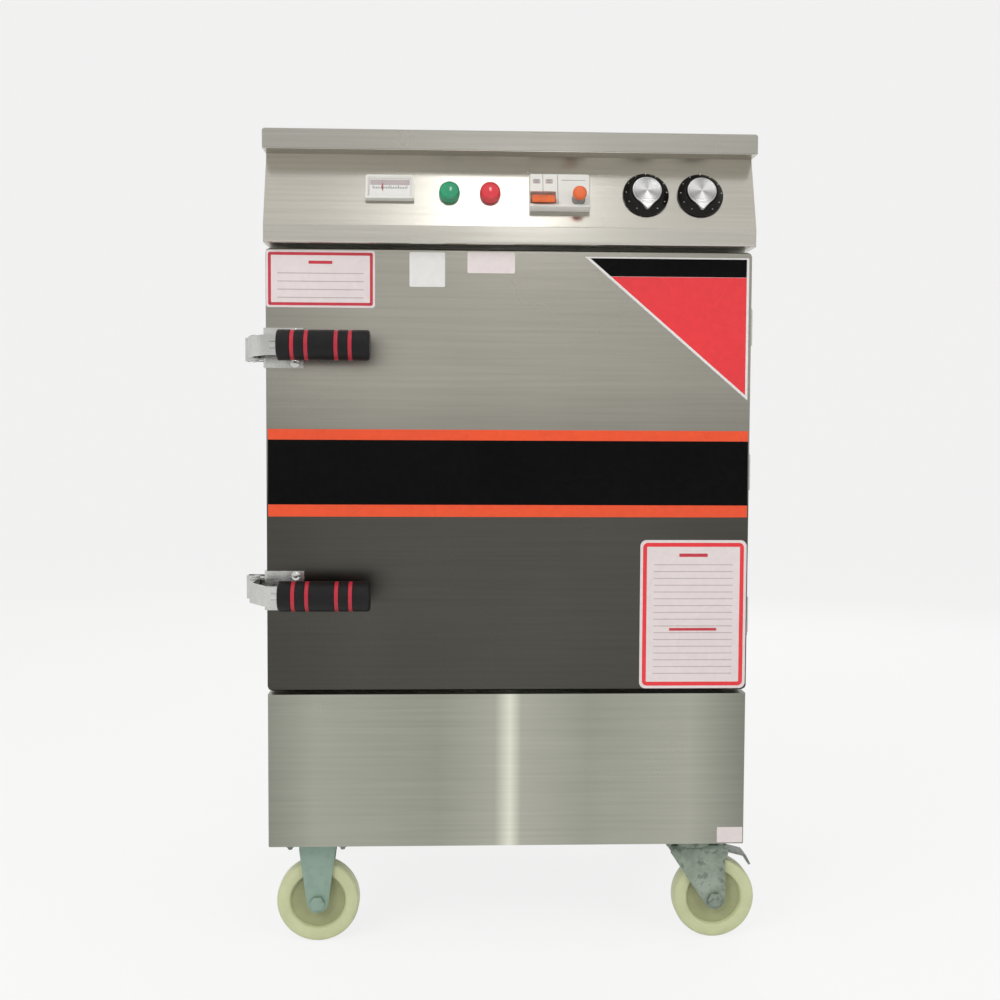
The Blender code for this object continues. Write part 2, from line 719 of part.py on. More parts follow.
def make_heating_element(heater_steel, cabinet):
    """An M-shaped immersion tube whose two ends meet a flange behind the tank's back wall."""
    front = CHAMBER_MIDDLE_Y - TANK_LENGTH / 2 + HEATER_WALL_MARGIN
    back = TANK_BACK_Y - HEATER_WALL_MARGIN
    side = TANK_WIDTH / 2 - HEATER_SIDE_MARGIN
    boss_front = TANK_BACK_Y + SHEET + SEAT_GAP - HEATER_BOSS_LENGTH
    half = [
        (HEATER_LEAD_SPREAD, boss_front + HEATER_BOSS_LENGTH / 2),
        (HEATER_LEAD_SPREAD, back),
        (side, back),
        (side, front),
        (HEATER_INNER_SPREAD, front),
        (HEATER_INNER_SPREAD, back - HEATER_RUN_SPACING),
    ]
    corners = half + [(-x, y) for x, y in reversed(half)]
    radius = min(HEATER_BEND, (back - front) / 4, HEATER_INNER_SPREAD / 2)
    path = rounded(corners, radius, closed=False)
    level = TANK_BOTTOM + HEATER_LIFT
    bar = tube("heater_path", [(x, y, level) for x, y in path], HEATER_TUBE_RADIUS)
    element = node("heating_element", bar, heater_steel, cabinet)
    flange_y = TANK_BACK_Y + SHEET + SEAT_GAP
    flange = turned(
        [
            (0, boss_front),
            (HEATER_BOSS_RADIUS, boss_front),
            (HEATER_BOSS_RADIUS, flange_y),
            (HEATER_FLANGE_RADIUS, flange_y),
            (HEATER_FLANGE_RADIUS, flange_y + HEATER_FLANGE_THICKNESS),
            (HEATER_CAP_RADIUS, flange_y + HEATER_FLANGE_THICKNESS),
            (HEATER_CAP_RADIUS, flange_y + HEATER_FLANGE_THICKNESS + HEATER_CAP_LENGTH),
            (0, flange_y + HEATER_FLANGE_THICKNESS + HEATER_CAP_LENGTH),
        ],
        "Y",
    )
    return fuse(element, moved(flange, (0, 0, level)))


def shelf_heights():
    first = CHAMBER_BOTTOM + FIRST_SHELF_HEIGHT
    return [first + TRAY_PITCH * i for i in range(TRAY_COUNT)]


def make_tray_rack(side, name, steel, cabinet):
    """A side rack: a comb-shaped sheet whose ledges carry the tray rims, with steam windows."""
    wall = CHAMBER_WIDTH / 2 - SEAT_GAP
    inside = wall - RACK_SHEET
    ledge = TRAY_WIDTH / 2 - TRAY_RIM + RACK_LEDGE_CLEARANCE
    shelves = shelf_heights()
    bottom, top = shelves[0] - RACK_END_HEIGHT, shelves[-1] + RACK_END_HEIGHT
    outline = [(wall, bottom), (wall, top), (inside, top)]
    for shelf in reversed(shelves):
        outline += [(inside, shelf), (ledge, shelf), (ledge, shelf - RACK_SHEET)]
        outline.append((inside, shelf - RACK_SHEET))
    outline.append((inside, bottom))
    outline = [(side * x, z) for x, z in outline]
    half = RACK_LENGTH / 2
    rack = prism(outline, "Y", CHAMBER_MIDDLE_Y - half, CHAMBER_MIDDLE_Y + half)
    rack = node(name, rack, steel, cabinet)
    window = (RACK_LENGTH - 3 * RACK_POST_WIDTH) / 2
    windows = []
    for low, high in zip(shelves, shelves[1:]):
        for start in (-half + RACK_POST_WIDTH, half - RACK_POST_WIDTH - window):
            x = sorted((side * (wall + CUT_OVERRUN), side * (inside - CUT_OVERRUN)))
            y = CHAMBER_MIDDLE_Y + start
            windows.append(
                box(
                    (x[0], y, low + RACK_WINDOW_MARGIN),
                    (x[1], y + window, high - RACK_SHEET - RACK_WINDOW_MARGIN),
                )
            )
    return cut(rack, gathered(windows))


def make_rice_tray(number, shelf, steel, cabinet):
    """A pan with tapered walls, hung by its rim on a pair of ledges."""
    centre = (0, CHAMBER_MIDDLE_Y)
    seat = shelf + SEAT_GAP
    floor = seat + SHEET - TRAY_HEIGHT

    def loop(shrink):
        radius = TRAY_CORNER - max(shrink - TRAY_RIM, 0)
        size = TRAY_WIDTH - 2 * shrink, TRAY_LENGTH - 2 * shrink
        return rectangle(*size, radius, centre, WIDE_ARC_STEPS)

    sections = [
        (loop(TRAY_RIM + TRAY_TAPER), floor),
        (loop(TRAY_RIM), seat),
        (loop(0), seat),
        (loop(0), seat + SHEET),
        (loop(TRAY_RIM + SHEET), seat + SHEET),
        (loop(TRAY_RIM + TRAY_TAPER + SHEET), floor + SHEET),
    ]
    return node(f"rice_tray_{number}", stacked(sections, "Z"), steel, cabinet)


def make_chassis_pan(steel, cabinet):
    """The pan that closes the base from below and takes the casters."""
    low_y = DOOR_FRONT_Y + SHEET + SEAT_GAP
    high_y = BACK_Y - SHEET - SEAT_GAP
    width = BODY_WIDTH - 2 * (SHEET + SEAT_GAP)
    centre = (0, (low_y + high_y) / 2)
    outer = rectangle(width, high_y - low_y, BEND_RADIUS, centre)
    wall = 2 * CHASSIS_SHEET
    inner = rectangle(width - wall, high_y - low_y - wall, BEND_RADIUS - CHASSIS_SHEET, centre)
    sections = [
        (outer, BODY_BOTTOM),
        (outer, BODY_BOTTOM + CHASSIS_EDGE),
        (inner, BODY_BOTTOM + CHASSIS_EDGE),
        (inner, BODY_BOTTOM + CHASSIS_SHEET),
    ]
    return node("chassis_pan", stacked(sections, "Z"), steel, cabinet)


def make_base_panel(steel, cabinet):
    """The front cover of the base: folded round both sides, with a shelf along its top."""
    corners = [
        (HALF_WIDTH, FACE_Y + SHEET),
        (HALF_WIDTH, DOOR_FRONT_Y),
        (-HALF_WIDTH, DOOR_FRONT_Y),
        (-HALF_WIDTH, FACE_Y + SHEET),
    ]
    profile = folded_sheet(corners, SHEET, BEND_RADIUS)
    panel = node("base_panel", prism(profile, "Z", BODY_BOTTOM, BASE_TOP), steel, cabinet)
    shelf = rounded(corners, BEND_RADIUS, closed=False)
    return fuse(panel, prism(shelf, "Z", BASE_TOP - SHEET, BASE_TOP))


def make_top_lid(steel, cabinet):
    """The lid: a shallow tray turned over, its skirt lapping the shell and the head."""
    lap = SEAT_GAP + SHEET
    low_y, high_y = BAND_Y, BACK_Y + lap
    width = BODY_WIDTH + 2 * lap
    centre = (0, (low_y + high_y) / 2)
    length = high_y - low_y
    radius = BEND_RADIUS + SHEET
    outer = rectangle(width, length, radius, centre)
    soft = 2 * LID_EDGE_RADIUS
    crown = rectangle(width - soft, length - soft, radius - LID_EDGE_RADIUS, centre)
    inner = rectangle(width - 2 * SHEET, length - 2 * SHEET, BEND_RADIUS, centre)
    sections = [
        (inner, HEAD_TOP - SHEET),
        (inner, LID_BOTTOM),
        (outer, LID_BOTTOM),
        (outer, HEAD_TOP - LID_EDGE_RADIUS),
        (crown, HEAD_TOP),
    ]
    return node("top_lid", stacked(sections, "Z"), steel, cabinet)


def face_frame(cabinet):
    """The frame of the sloping face: -Y out of the face, +Z up the slope, Z = 0 on the bend."""
    return axis_empty("control_face", cabinet, (0, BAND_Y, HEAD_BOTTOM + BAND_HEIGHT), -FACE_TILT)


def on_face(x, out, up):
    """A point given in the face's frame, in cabinet coordinates."""
    turn = Matrix.Rotation(-FACE_TILT, 3, "X")
    return turn @ Vector((x, out, up)) + Vector((0, BAND_Y, HEAD_BOTTOM + BAND_HEIGHT))


def on_slope(bm, x, up):
    """A shape written about the origin of the face's frame, moved to its place on the face."""
    bmesh.ops.rotate(
        bm, verts=bm.verts, cent=(0, 0, 0), matrix=Matrix.Rotation(-FACE_TILT, 3, "X")
    )
    return moved(bm, on_face(x, 0, up))


def face_cut(outline, x, up):
    return on_slope(prism(outline, "Y", -CUT_OVERRUN, SHEET + CUT_OVERRUN), x, up)


def make_control_panel(steel, cabinet):
    """The folded head panel: underside, band, sloping face and the ledge under the lid."""
    roof = LID_BOTTOM
    inside_lid = BAND_Y + SHEET + SEAT_GAP
    corners = [
        (FACE_Y, HEAD_BOTTOM),
        (BAND_Y, HEAD_BOTTOM),
        (BAND_Y, HEAD_BOTTOM + BAND_HEIGHT),
        (FACE_TOP_Y, roof),
        (inside_lid, roof),
    ]
    profile = folded_sheet(corners[:4], SHEET, BEND_RADIUS)
    panel = node(
        "control_panel", prism(profile, "X", -HALF_WIDTH, HALF_WIDTH), steel, cabinet
    )
    ledge = box(
        (-HALF_WIDTH, inside_lid, roof - SHEET), (HALF_WIDTH, FACE_TOP_Y + SHEET, roof)
    )
    cheek = rounded(
        [
            (FACE_Y, HEAD_BOTTOM),
            (BAND_Y, HEAD_BOTTOM),
            (BAND_Y, HEAD_BOTTOM + BAND_HEIGHT),
            (FACE_TOP_Y, roof),
            (FACE_Y, roof),
        ],
        BEND_RADIUS / 2,
    )
    left = prism(cheek, "X", -HALF_WIDTH, -HALF_WIDTH + SHEET)
    right = prism(cheek, "X", HALF_WIDTH - SHEET, HALF_WIDTH)
    fuse(panel, ledge, left, right)
    body = 2 * THERMOMETER_BODY_MARGIN - 2 * SEAT_GAP
    thermometer = rectangle(THERMOMETER_WIDTH - body, THERMOMETER_HEIGHT - body)
    breaker_body = 2 * BREAKER_BODY_MARGIN - 2 * SEAT_GAP
    breaker = rectangle(BREAKER_WIDTH - breaker_body, BREAKER_HEIGHT - breaker_body)
    lamp = circle(LAMP_NECK_RADIUS + SEAT_GAP)
    bush = circle(SWITCH_BUSH_RADIUS + SEAT_GAP)
    holes = [
        face_cut(thermometer, THERMOMETER_X, THERMOMETER_UP),
        face_cut(breaker, BREAKER_X, BREAKER_UP),
        face_cut(lamp, GREEN_LAMP_X, LAMP_UP),
        face_cut(lamp, RED_LAMP_X, LAMP_UP),
        face_cut(bush, TEMPERATURE_KNOB_X, KNOB_UP),
        face_cut(bush, TIMER_KNOB_X, KNOB_UP),
    ]
    return cut(panel, gathered(holes))


def make_thermometer(plastic, face):
    """A rectangular panel thermometer: dished front, rim on the face, body behind it."""
    size = (THERMOMETER_WIDTH, THERMOMETER_HEIGHT)

    def frame(shrink):
        return rectangle(size[0] - 2 * shrink, size[1] - 2 * shrink, CONTROL_CORNER)

    sections = [
        (frame(THERMOMETER_BODY_MARGIN), THERMOMETER_BODY_DEPTH),
        (frame(THERMOMETER_BODY_MARGIN), -SEAT_GAP),
        (frame(0), -SEAT_GAP),
        (frame(0), -THERMOMETER_PROUD + CONTROL_CORNER),
        (frame(CONTROL_CORNER / 2), -THERMOMETER_PROUD),
        (frame(THERMOMETER_RIM), -THERMOMETER_PROUD),
        (frame(THERMOMETER_RIM + THERMOMETER_DISH / 2), -THERMOMETER_PROUD + THERMOMETER_DISH),
    ]
    at = (THERMOMETER_X, 0, THERMOMETER_UP)
    return node("thermometer", stacked(sections, "Y"), plastic, face, at)


def make_lamp(name, x, plastic, face):
    """A pilot lamp: domed lens and bezel in front of the face, a neck through it, its body behind."""
    lens = LAMP_LENS_RADIUS
    dome = LAMP_LENS_PROUD - LAMP_BEZEL_PROUD
    arc = [math.radians(90) * i / 3 for i in range(4)]
    profile = [
        (lens * math.sin(angle), -LAMP_BEZEL_PROUD - dome * math.cos(angle)) for angle in arc
    ]
    profile += [
        (LAMP_BEZEL_RADIUS, -LAMP_BEZEL_PROUD),
        (LAMP_BEZEL_RADIUS, -SEAT_GAP),
        (LAMP_NECK_RADIUS, -SEAT_GAP),
        (LAMP_NECK_RADIUS, SHEET + SEAT_GAP),
        (LAMP_BODY_RADIUS, SHEET + SEAT_GAP),
        (LAMP_BODY_RADIUS, LAMP_BODY_LENGTH),
        (0, LAMP_BODY_LENGTH),
    ]
    return node(name, turned(profile, "Y"), plastic, face, (x, 0, LAMP_UP))


def make_breaker_housing(plastic, face):
    """The white box on the face: breaker body behind, toggle pocket and button sleeve in front."""

    def frame(shrink, corner=CONTROL_CORNER):
        return rectangle(BREAKER_WIDTH - 2 * shrink, BREAKER_HEIGHT - 2 * shrink, corner)

    sections = [
        (frame(BREAKER_BODY_MARGIN), BREAKER_BODY_DEPTH),
        (frame(BREAKER_BODY_MARGIN), -SEAT_GAP),
        (frame(0), -SEAT_GAP),
        (frame(0), -BREAKER_PROUD + CONTROL_CORNER),
        (frame(CONTROL_CORNER / 2), -BREAKER_PROUD),
    ]
    housing = stacked(sections, "Y")
    housing = node("breaker_housing", housing, plastic, face, (BREAKER_X, 0, BREAKER_UP))
    button = (BUTTON_FROM_CENTRE, BUTTON_UP_FROM_CENTRE)
    sleeve_end = -BREAKER_PROUD - SLEEVE_LENGTH
    sleeve = cylinder("Y", SLEEVE_RADIUS, sleeve_end, -BREAKER_PROUD / 2, centre=button)
    fuse(housing, sleeve)
    pocket = rectangle(
        TOGGLE_WIDTH + 2 * RUNNING_GAP,
        TOGGLE_POCKET_HEIGHT,
        0,
        (TOGGLE_FROM_CENTRE, TOGGLE_UP_FROM_CENTRE),
    )
    pocket = prism(pocket, "Y", -BREAKER_PROUD - CUT_OVERRUN, -BREAKER_PROUD + TOGGLE_POCKET_DEPTH)
    stem_end = sleeve_end + BUTTON_STEM_LENGTH + BUTTON_TRAVEL
    bore = cylinder(
        "Y", BUTTON_STEM_RADIUS + RUNNING_GAP, sleeve_end - CUT_OVERRUN, stem_end, centre=button
    )
    return cut(housing, gathered([pocket, bore]))


def make_breaker_toggle(plastic, face):
    """Two fins on a drum, tied by a bar at their tips; it rests pointing down and out."""
    at = (
        BREAKER_X + TOGGLE_FROM_CENTRE,
        -BREAKER_PROUD + TOGGLE_SINK,
        BREAKER_UP + TOGGLE_UP_FROM_CENTRE,
    )
    pivot = axis_empty("toggle_axis", face, at)
    half = TOGGLE_WIDTH / 2
    toggle = node(
        "breaker_toggle", cylinder("X", TOGGLE_DRUM_RADIUS, -half, half), plastic, pivot
    )
    thick, tip = TOGGLE_FIN_THICKNESS / 2, TOGGLE_TIP_WIDTH
    fin_outline = [(0, -thick), (0, thick), (-TOGGLE_REACH + tip, thick), (-TOGGLE_REACH, 0)]
    fin_outline += [(-TOGGLE_REACH, -thick)]
    bar_outline = [(-TOGGLE_REACH + tip, -thick), (-TOGGLE_REACH + tip, thick)]
    bar_outline += [(-TOGGLE_REACH, 0), (-TOGGLE_REACH, -thick)]
    turn = Matrix.Rotation(math.radians(TOGGLE_REST_DEG), 2)

    def bent(outline):
        return [turn @ Vector(point) for point in outline]

    fins = [
        prism(bent(fin_outline), "X", -half, -half + TOGGLE_FIN_WIDTH),
        prism(bent(fin_outline), "X", half - TOGGLE_FIN_WIDTH, half),
    ]
    bar = prism(bent(bar_outline), "X", -half + TOGGLE_FIN_WIDTH / 2, half - TOGGLE_FIN_WIDTH / 2)
    return fuse(toggle, gathered(fins), bar)


def make_push_button(plastic, face):
    """A domed cap on a stem that slides in the sleeve."""
    sleeve_end = -BREAKER_PROUD - SLEEVE_LENGTH
    seat = sleeve_end - BUTTON_TRAVEL - SEAT_GAP
    top = seat - BUTTON_CAP_HEIGHT
    edge = BUTTON_CAP_HEIGHT / 3
    profile = [
        (0, top),
        (BUTTON_RADIUS / 2, top + edge / 4),
        (BUTTON_RADIUS - edge / 2, top + edge),
        (BUTTON_RADIUS, top + 2 * edge),
        (BUTTON_RADIUS, seat),
        (BUTTON_STEM_RADIUS, seat),
        (BUTTON_STEM_RADIUS, sleeve_end + BUTTON_STEM_LENGTH - BUTTON_TRAVEL),
        (0, sleeve_end + BUTTON_STEM_LENGTH - BUTTON_TRAVEL),
    ]
    at = (BREAKER_X + BUTTON_FROM_CENTRE, 0, BREAKER_UP + BUTTON_UP_FROM_CENTRE)
    return node("push_button", turned(profile, "Y"), plastic, face, at)


def make_switch_body(name, x, plastic, face):
    """The control behind a knob: a box on the back of the face, its bush through the face."""
    back = SHEET + SEAT_GAP
    body = prism(rectangle(SWITCH_WIDTH, SWITCH_WIDTH, CONTROL_CORNER), "Y", back, back + SWITCH_DEPTH)
    body = node(name, body, plastic, face, (x, 0, KNOB_UP))
    bush_end = -KNOB_LIFT / 2
    fuse(body, cylinder("Y", SWITCH_BUSH_RADIUS, bush_end, back + SWITCH_BUSH_LENGTH))
    bore = KNOB_SHAFT_RADIUS + RUNNING_GAP
    return cut(body, cylinder("Y", bore, bush_end - CUT_OVERRUN, back + SWITCH_BORE_DEPTH, PIN_STEPS))


def make_knob(name, x, plastic, face):
    """A dial skirt with a raised cap whose pointer looks down, on a shaft in the switch."""
    pivot = axis_empty(f"{name}_axis", face, (x, 0, KNOB_UP))
    shaft_end = SHEET + SWITCH_BORE_DEPTH - SHAFT_END_CLEARANCE
    profile = [
        (0, -KNOB_HEIGHT),
        (KNOB_CAP_RADIUS, -KNOB_HEIGHT),
        (KNOB_CAP_RADIUS, -KNOB_SHOULDER_HEIGHT),
        (KNOB_SHOULDER_RADIUS, -KNOB_SHOULDER_HEIGHT),
        (KNOB_SKIRT_RADIUS, -KNOB_SKIRT_EDGE - KNOB_LIFT),
        (KNOB_SKIRT_RADIUS, -KNOB_LIFT),
        (KNOB_SHAFT_RADIUS, -KNOB_LIFT),
        (KNOB_SHAFT_RADIUS, shaft_end),
        (0, shaft_end),
    ]
    knob = node(name, turned(profile, "Y", WHEEL_STEPS), plastic, pivot)
    pointer = [
        (-KNOB_POINTER_WIDTH / 2, -KNOB_CAP_RADIUS + KNOB_POINTER_WIDTH / 2),
        (0, -KNOB_POINTER_REACH),
        (KNOB_POINTER_WIDTH / 2, -KNOB_CAP_RADIUS + KNOB_POINTER_WIDTH / 2),
    ]
    return fuse(knob, prism(pointer, "Y", -KNOB_HEIGHT, -KNOB_SHOULDER_HEIGHT / 2))


def make_door_skin(steel, door, at):
    """The outer door pan, open to the back, with softly bent front edges."""
    centre = (0, (DOOR_BOTTOM + DOOR_TOP) / 2)

    def frame(shrink):
        radius = max(CORNER_RADIUS - shrink, BEND_RADIUS / 2)
        return rectangle(BODY_WIDTH - 2 * shrink, DOOR_HEIGHT - 2 * shrink, radius, centre)

    soft = BEND_RADIUS / 2
    sections = [
        (frame(SHEET), DOOR_FRONT_Y + SHEET),
        (frame(SHEET), DOOR_BACK_Y),
        (frame(0), DOOR_BACK_Y),
        (frame(0), DOOR_FRONT_Y + soft),
        (frame(soft), DOOR_FRONT_Y),
    ]
    return node("door_skin", stacked(sections, "Y"), steel, door, at)


def make_door_liner(steel, door, at):
    """The inner door pan: a return inside the skin, and a plug that enters the chamber mouth."""
    centre = (0, (DOOR_BOTTOM + DOOR_TOP) / 2)
    wall = SHEET + SEAT_GAP
    plug = (CHAMBER_WIDTH - 2 * PLUG_CLEARANCE, CHAMBER_HEIGHT - 2 * PLUG_CLEARANCE)

    def edge(shrink):
        inset = wall + shrink
        return rectangle(
            BODY_WIDTH - 2 * inset, DOOR_HEIGHT - 2 * inset, CORNER_RADIUS - inset, centre
        )

    def raised(shrink):
        return rectangle(plug[0] - 2 * shrink, plug[1] - 2 * shrink, CHAMBER_CORNER, centre)

    crown = DOOR_BACK_Y + GASKET_THICKNESS + PLUG_REACH
    sections = [
        (raised(PLUG_TAPER), crown),
        (raised(0), DOOR_BACK_Y),
        (edge(0), DOOR_BACK_Y),
        (edge(0), DOOR_BACK_Y - LINER_RETURN),
        (edge(SHEET), DOOR_BACK_Y - LINER_RETURN),
        (edge(SHEET), DOOR_BACK_Y - SHEET),
        (raised(SHEET), DOOR_BACK_Y - SHEET),
        (raised(PLUG_TAPER + SHEET), crown - SHEET),
    ]
    return node("door_liner", stacked(sections, "Y"), steel, door, at)


def make_door_gasket(rubber, door, at):
    """The silicone ring between the door and the face flange, wider at its root than at its lip."""
    centre = (0, (DOOR_BOTTOM + DOOR_TOP) / 2)
    width = CHAMBER_WIDTH + CHAMBER_SIDE_WALL
    height = (CHAMBER_HEIGHT + DOOR_HEIGHT) / 2
    root, lip = DOOR_BACK_Y + SEAT_GAP, FACE_Y - SEAT_GAP

    def ring(grow, y):
        return (rectangle(width + 2 * grow, height + 2 * grow, CHAMBER_CORNER + grow, centre), y)

    half, waist = GASKET_WIDTH / 2, (root + lip) / 2
    sections = [
        ring(-half, root),
        ring(-half + GASKET_LIP / 2, waist),
        ring(-half + GASKET_LIP, lip),
        ring(half - GASKET_LIP, lip),
        ring(half - GASKET_LIP / 2, waist),
        ring(half, root),
    ]
    return node("door_gasket", stacked(sections, "Y", ring=True), rubber, door, at)


def hinge_knuckle_ends():
    """The heights, from the hinge's middle, where its three knuckles meet."""
    third = HINGE_LENGTH / 3
    return -HINGE_LENGTH / 2, -third / 2, third / 2, HINGE_LENGTH / 2


def hinge_leaf_outline(direction, knuckles):
    """A leaf in the (Y, Z) plane: flat out to its width, reaching the barrel only at its knuckles."""
    low, _, _, high = hinge_knuckle_ends()
    near = HINGE_KNUCKLE_RADIUS + HINGE_SWING_GAP
    outline = [(near + HINGE_LEAF_WIDTH, low), (near + HINGE_LEAF_WIDTH, high), (near, high)]
    for start, end in sorted(knuckles, reverse=True):
        outline += [(near, end), (0, end), (0, start), (near, start)]
    outline.append((near, low))
    return [(direction * y, z) for y, z in dict.fromkeys(outline)]


def make_hinge(name, z, steel, cabinet, door):
    """A three-knuckle hinge; the body leaf holds the outer knuckles and the pin."""
    bottom, lower, upper, top = hinge_knuckle_ends()
    half_gap = HINGE_SWING_GAP / 2
    outer = [(bottom, lower - half_gap), (upper + half_gap, top)]
    middle = [(lower + half_gap, upper - half_gap)]
    inside = -HINGE_KNUCKLE_RADIUS
    plate = (inside, inside + HINGE_LEAF_THICKNESS)
    at = Vector((HINGE_X, HINGE_Y, z))

    leaf = prism(hinge_leaf_outline(1, outer), "X", *plate)
    leaf = node(f"{name}_body_leaf", leaf, steel, cabinet, at)
    knuckles = [cylinder("Z", HINGE_KNUCKLE_RADIUS, *span, PIN_STEPS) for span in outer]
    head = HINGE_PIN_HEAD_HEIGHT
    small = HINGE_PIN_HEAD_RADIUS * HINGE_PIN_HEAD_SHARE
    pin = turned(
        [
            (0, top + head),
            (small, top + head),
            (HINGE_PIN_HEAD_RADIUS, top + head / 2),
            (HINGE_PIN_HEAD_RADIUS, top - half_gap),
            (HINGE_PIN_RADIUS, top - half_gap),
            (HINGE_PIN_RADIUS, bottom + half_gap),
            (HINGE_PIN_HEAD_RADIUS, bottom + half_gap),
            (HINGE_PIN_HEAD_RADIUS, bottom - head / 2),
            (small, bottom - head),
            (0, bottom - head),
        ],
        "Z",
        PIN_STEPS,
    )
    fuse(leaf, gathered(knuckles), pin)

    swing = prism(hinge_leaf_outline(-1, middle), "X", *plate)
    swing = node(f"{name}_door_leaf", swing, steel, door, at - door.location)
    fuse(swing, cylinder("Z", HINGE_KNUCKLE_RADIUS, *middle[0], PIN_STEPS))
    cut(swing, cylinder("Z", HINGE_PIN_RADIUS + RUNNING_GAP, bottom, top, PIN_STEPS))


def make_latch_bracket(name, z, steel, door):
    """An angle round the door's edge with two ears, the pivot pin through them and two screws."""
    at = Vector((LATCH_X, LATCH_Y, z)) - door.location
    wall = LATCH_PIVOT_OUT - SEAT_GAP
    front = -LATCH_PIVOT_BACK - SEAT_GAP
    corners = [
        (LATCH_PIVOT_OUT + BRACKET_REACH, front),
        (wall, front),
        (wall, front + BRACKET_WRAP - BRACKET_SHEET),
    ]
    half = BRACKET_HEIGHT / 2
    angle = folded_sheet(list(reversed(corners)), BRACKET_SHEET, BRACKET_BEND)
    bracket = node(name, prism(angle, "Z", -half, half), steel, door, at)
    gap = LEVER_HEIGHT / 2 + RUNNING_GAP
    ear = [
        (wall - BRACKET_SHEET / 2, -EAR_RADIUS),
        (wall - BRACKET_SHEET / 2, EAR_RADIUS),
        *[
            Matrix.Rotation(math.pi * i / HOLE_STEPS, 2) @ Vector((0, EAR_RADIUS))
            for i in range(HOLE_STEPS + 1)
        ],
    ]
    ears = gathered(
        [prism(ear, "Z", gap, gap + EAR_THICKNESS), prism(ear, "Z", -gap - EAR_THICKNESS, -gap)]
    )
    end = gap + EAR_THICKNESS
    pin = turned(
        [
            (0, end + PIVOT_PIN_HEAD_HEIGHT),
            (PIVOT_PIN_HEAD_RADIUS, end + PIVOT_PIN_HEAD_HEIGHT / 2),
            (PIVOT_PIN_HEAD_RADIUS, end - EAR_THICKNESS / 2),
            (PIVOT_PIN_RADIUS, end - EAR_THICKNESS / 2),
            (PIVOT_PIN_RADIUS, -end + EAR_THICKNESS / 2),
            (PIVOT_PIN_HEAD_RADIUS, -end + EAR_THICKNESS / 2),
            (PIVOT_PIN_HEAD_RADIUS, -end - PIVOT_PIN_HEAD_HEIGHT / 2),
            (0, -end - PIVOT_PIN_HEAD_HEIGHT),
        ],
        "Z",
        PIN_STEPS,
    )
    base = front - BRACKET_SHEET
    screw_x = LATCH_PIVOT_OUT + BRACKET_REACH - SCREW_INSET
    heads = []
    for side in (-1, 1):
        head = turned(
            [
                (0, base - SCREW_HEAD_HEIGHT),
                (SCREW_HEAD_RADIUS / 2, base - SCREW_HEAD_HEIGHT + SCREW_HEAD_HEIGHT / 8),
                (SCREW_HEAD_RADIUS, base - SCREW_HEAD_HEIGHT / 2),
                (SCREW_HEAD_RADIUS, base + BRACKET_SHEET / 2),
                (0, base + BRACKET_SHEET / 2),
            ],
            "Y",
            PIN_STEPS,
        )
        heads.append(moved(head, (screw_x, 0, side * SCREW_FROM_CENTRE)))
    return fuse(bracket, ears, pin, gathered(heads))


def make_latch_lever(name, steel, latch):
    """A cranked strap on a barrel: a tang for the grip in front, a hooked finger behind."""
    half = LEVER_HEIGHT / 2
    grip_y = -LATCH_PIVOT_BACK - GRIP_STANDOFF
    grip_x = LATCH_PIVOT_OUT + GRIP_START_INSET
    middle = LEVER_SHEET / 2
    corners = [
        (-middle, 0),
        (-middle, -LEVER_STEP_OUT),
        (grip_x - LEVER_BEND, grip_y - middle),
        (grip_x - SEAT_GAP, grip_y - middle),
    ]
    strap = folded_sheet(list(reversed(corners)), LEVER_SHEET, LEVER_BEND / 2)
    lever = node(name, prism(strap, "Z", -half, half), steel, latch)
    barrel = cylinder("Z", LEVER_BARREL_RADIUS, -half, half)
    tang_start = grip_x - LEVER_BEND / 2
    tang = cylinder("X", TANG_RADIUS, tang_start, grip_x + TANG_LENGTH, PIN_STEPS, (grip_y, 0))
    side = FINGER_THICKNESS / 2
    hook_back = FINGER_LENGTH - HOOK_DEPTH
    finger = [
        (side, 0),
        (side, FINGER_LENGTH),
        (HOOK_TIP_X, FINGER_LENGTH - HOOK_BEVEL),
        (HOOK_TIP_X, hook_back + HOOK_BEVEL),
        (-side, hook_back),
        (-side, 0),
    ]
    finger = prism(finger, "Z", -FINGER_HEIGHT / 2, FINGER_HEIGHT / 2)
    fuse(lever, barrel, finger, tang)
    bore = cylinder(
        "Z", PIVOT_PIN_RADIUS + RUNNING_GAP, -half - CUT_OVERRUN, half + CUT_OVERRUN, PIN_STEPS
    )
    return cut(lever, bore)


def make_latch_grip(name, rubber, latch):
    """A round grip with ring grooves, closed at its far end, over the lever's tang."""
    start = LATCH_PIVOT_OUT + GRIP_START_INSET
    end = start + GRIP_LENGTH
    soft = GRIP_END_ROUND
    bore = TANG_RADIUS + SEAT_GAP
    profile = [(bore, start), (GRIP_RADIUS - soft, start), (GRIP_RADIUS, start + soft)]
    for share in GRIP_GROOVE_SHARES:
        low = start + GRIP_LENGTH * share - GRIP_GROOVE_WIDTH / 2
        high = low + GRIP_GROOVE_WIDTH
        deep = GRIP_RADIUS - GRIP_GROOVE_DEPTH
        profile += [(GRIP_RADIUS, low), (deep, low + GRIP_GROOVE_DEPTH)]
        profile += [(deep, high - GRIP_GROOVE_DEPTH), (GRIP_RADIUS, high)]
    blind = start + TANG_LENGTH + SEAT_GAP
    profile += [
        (GRIP_RADIUS, end - soft),
        (GRIP_RADIUS - soft, end),
        (0, end),
        (0, blind),
        (bore, blind),
    ]
    grip = moved(turned(profile, "X", bored=True), (0, -LATCH_PIVOT_BACK - GRIP_STANDOFF, 0))
    return node(name, grip, rubber, latch)


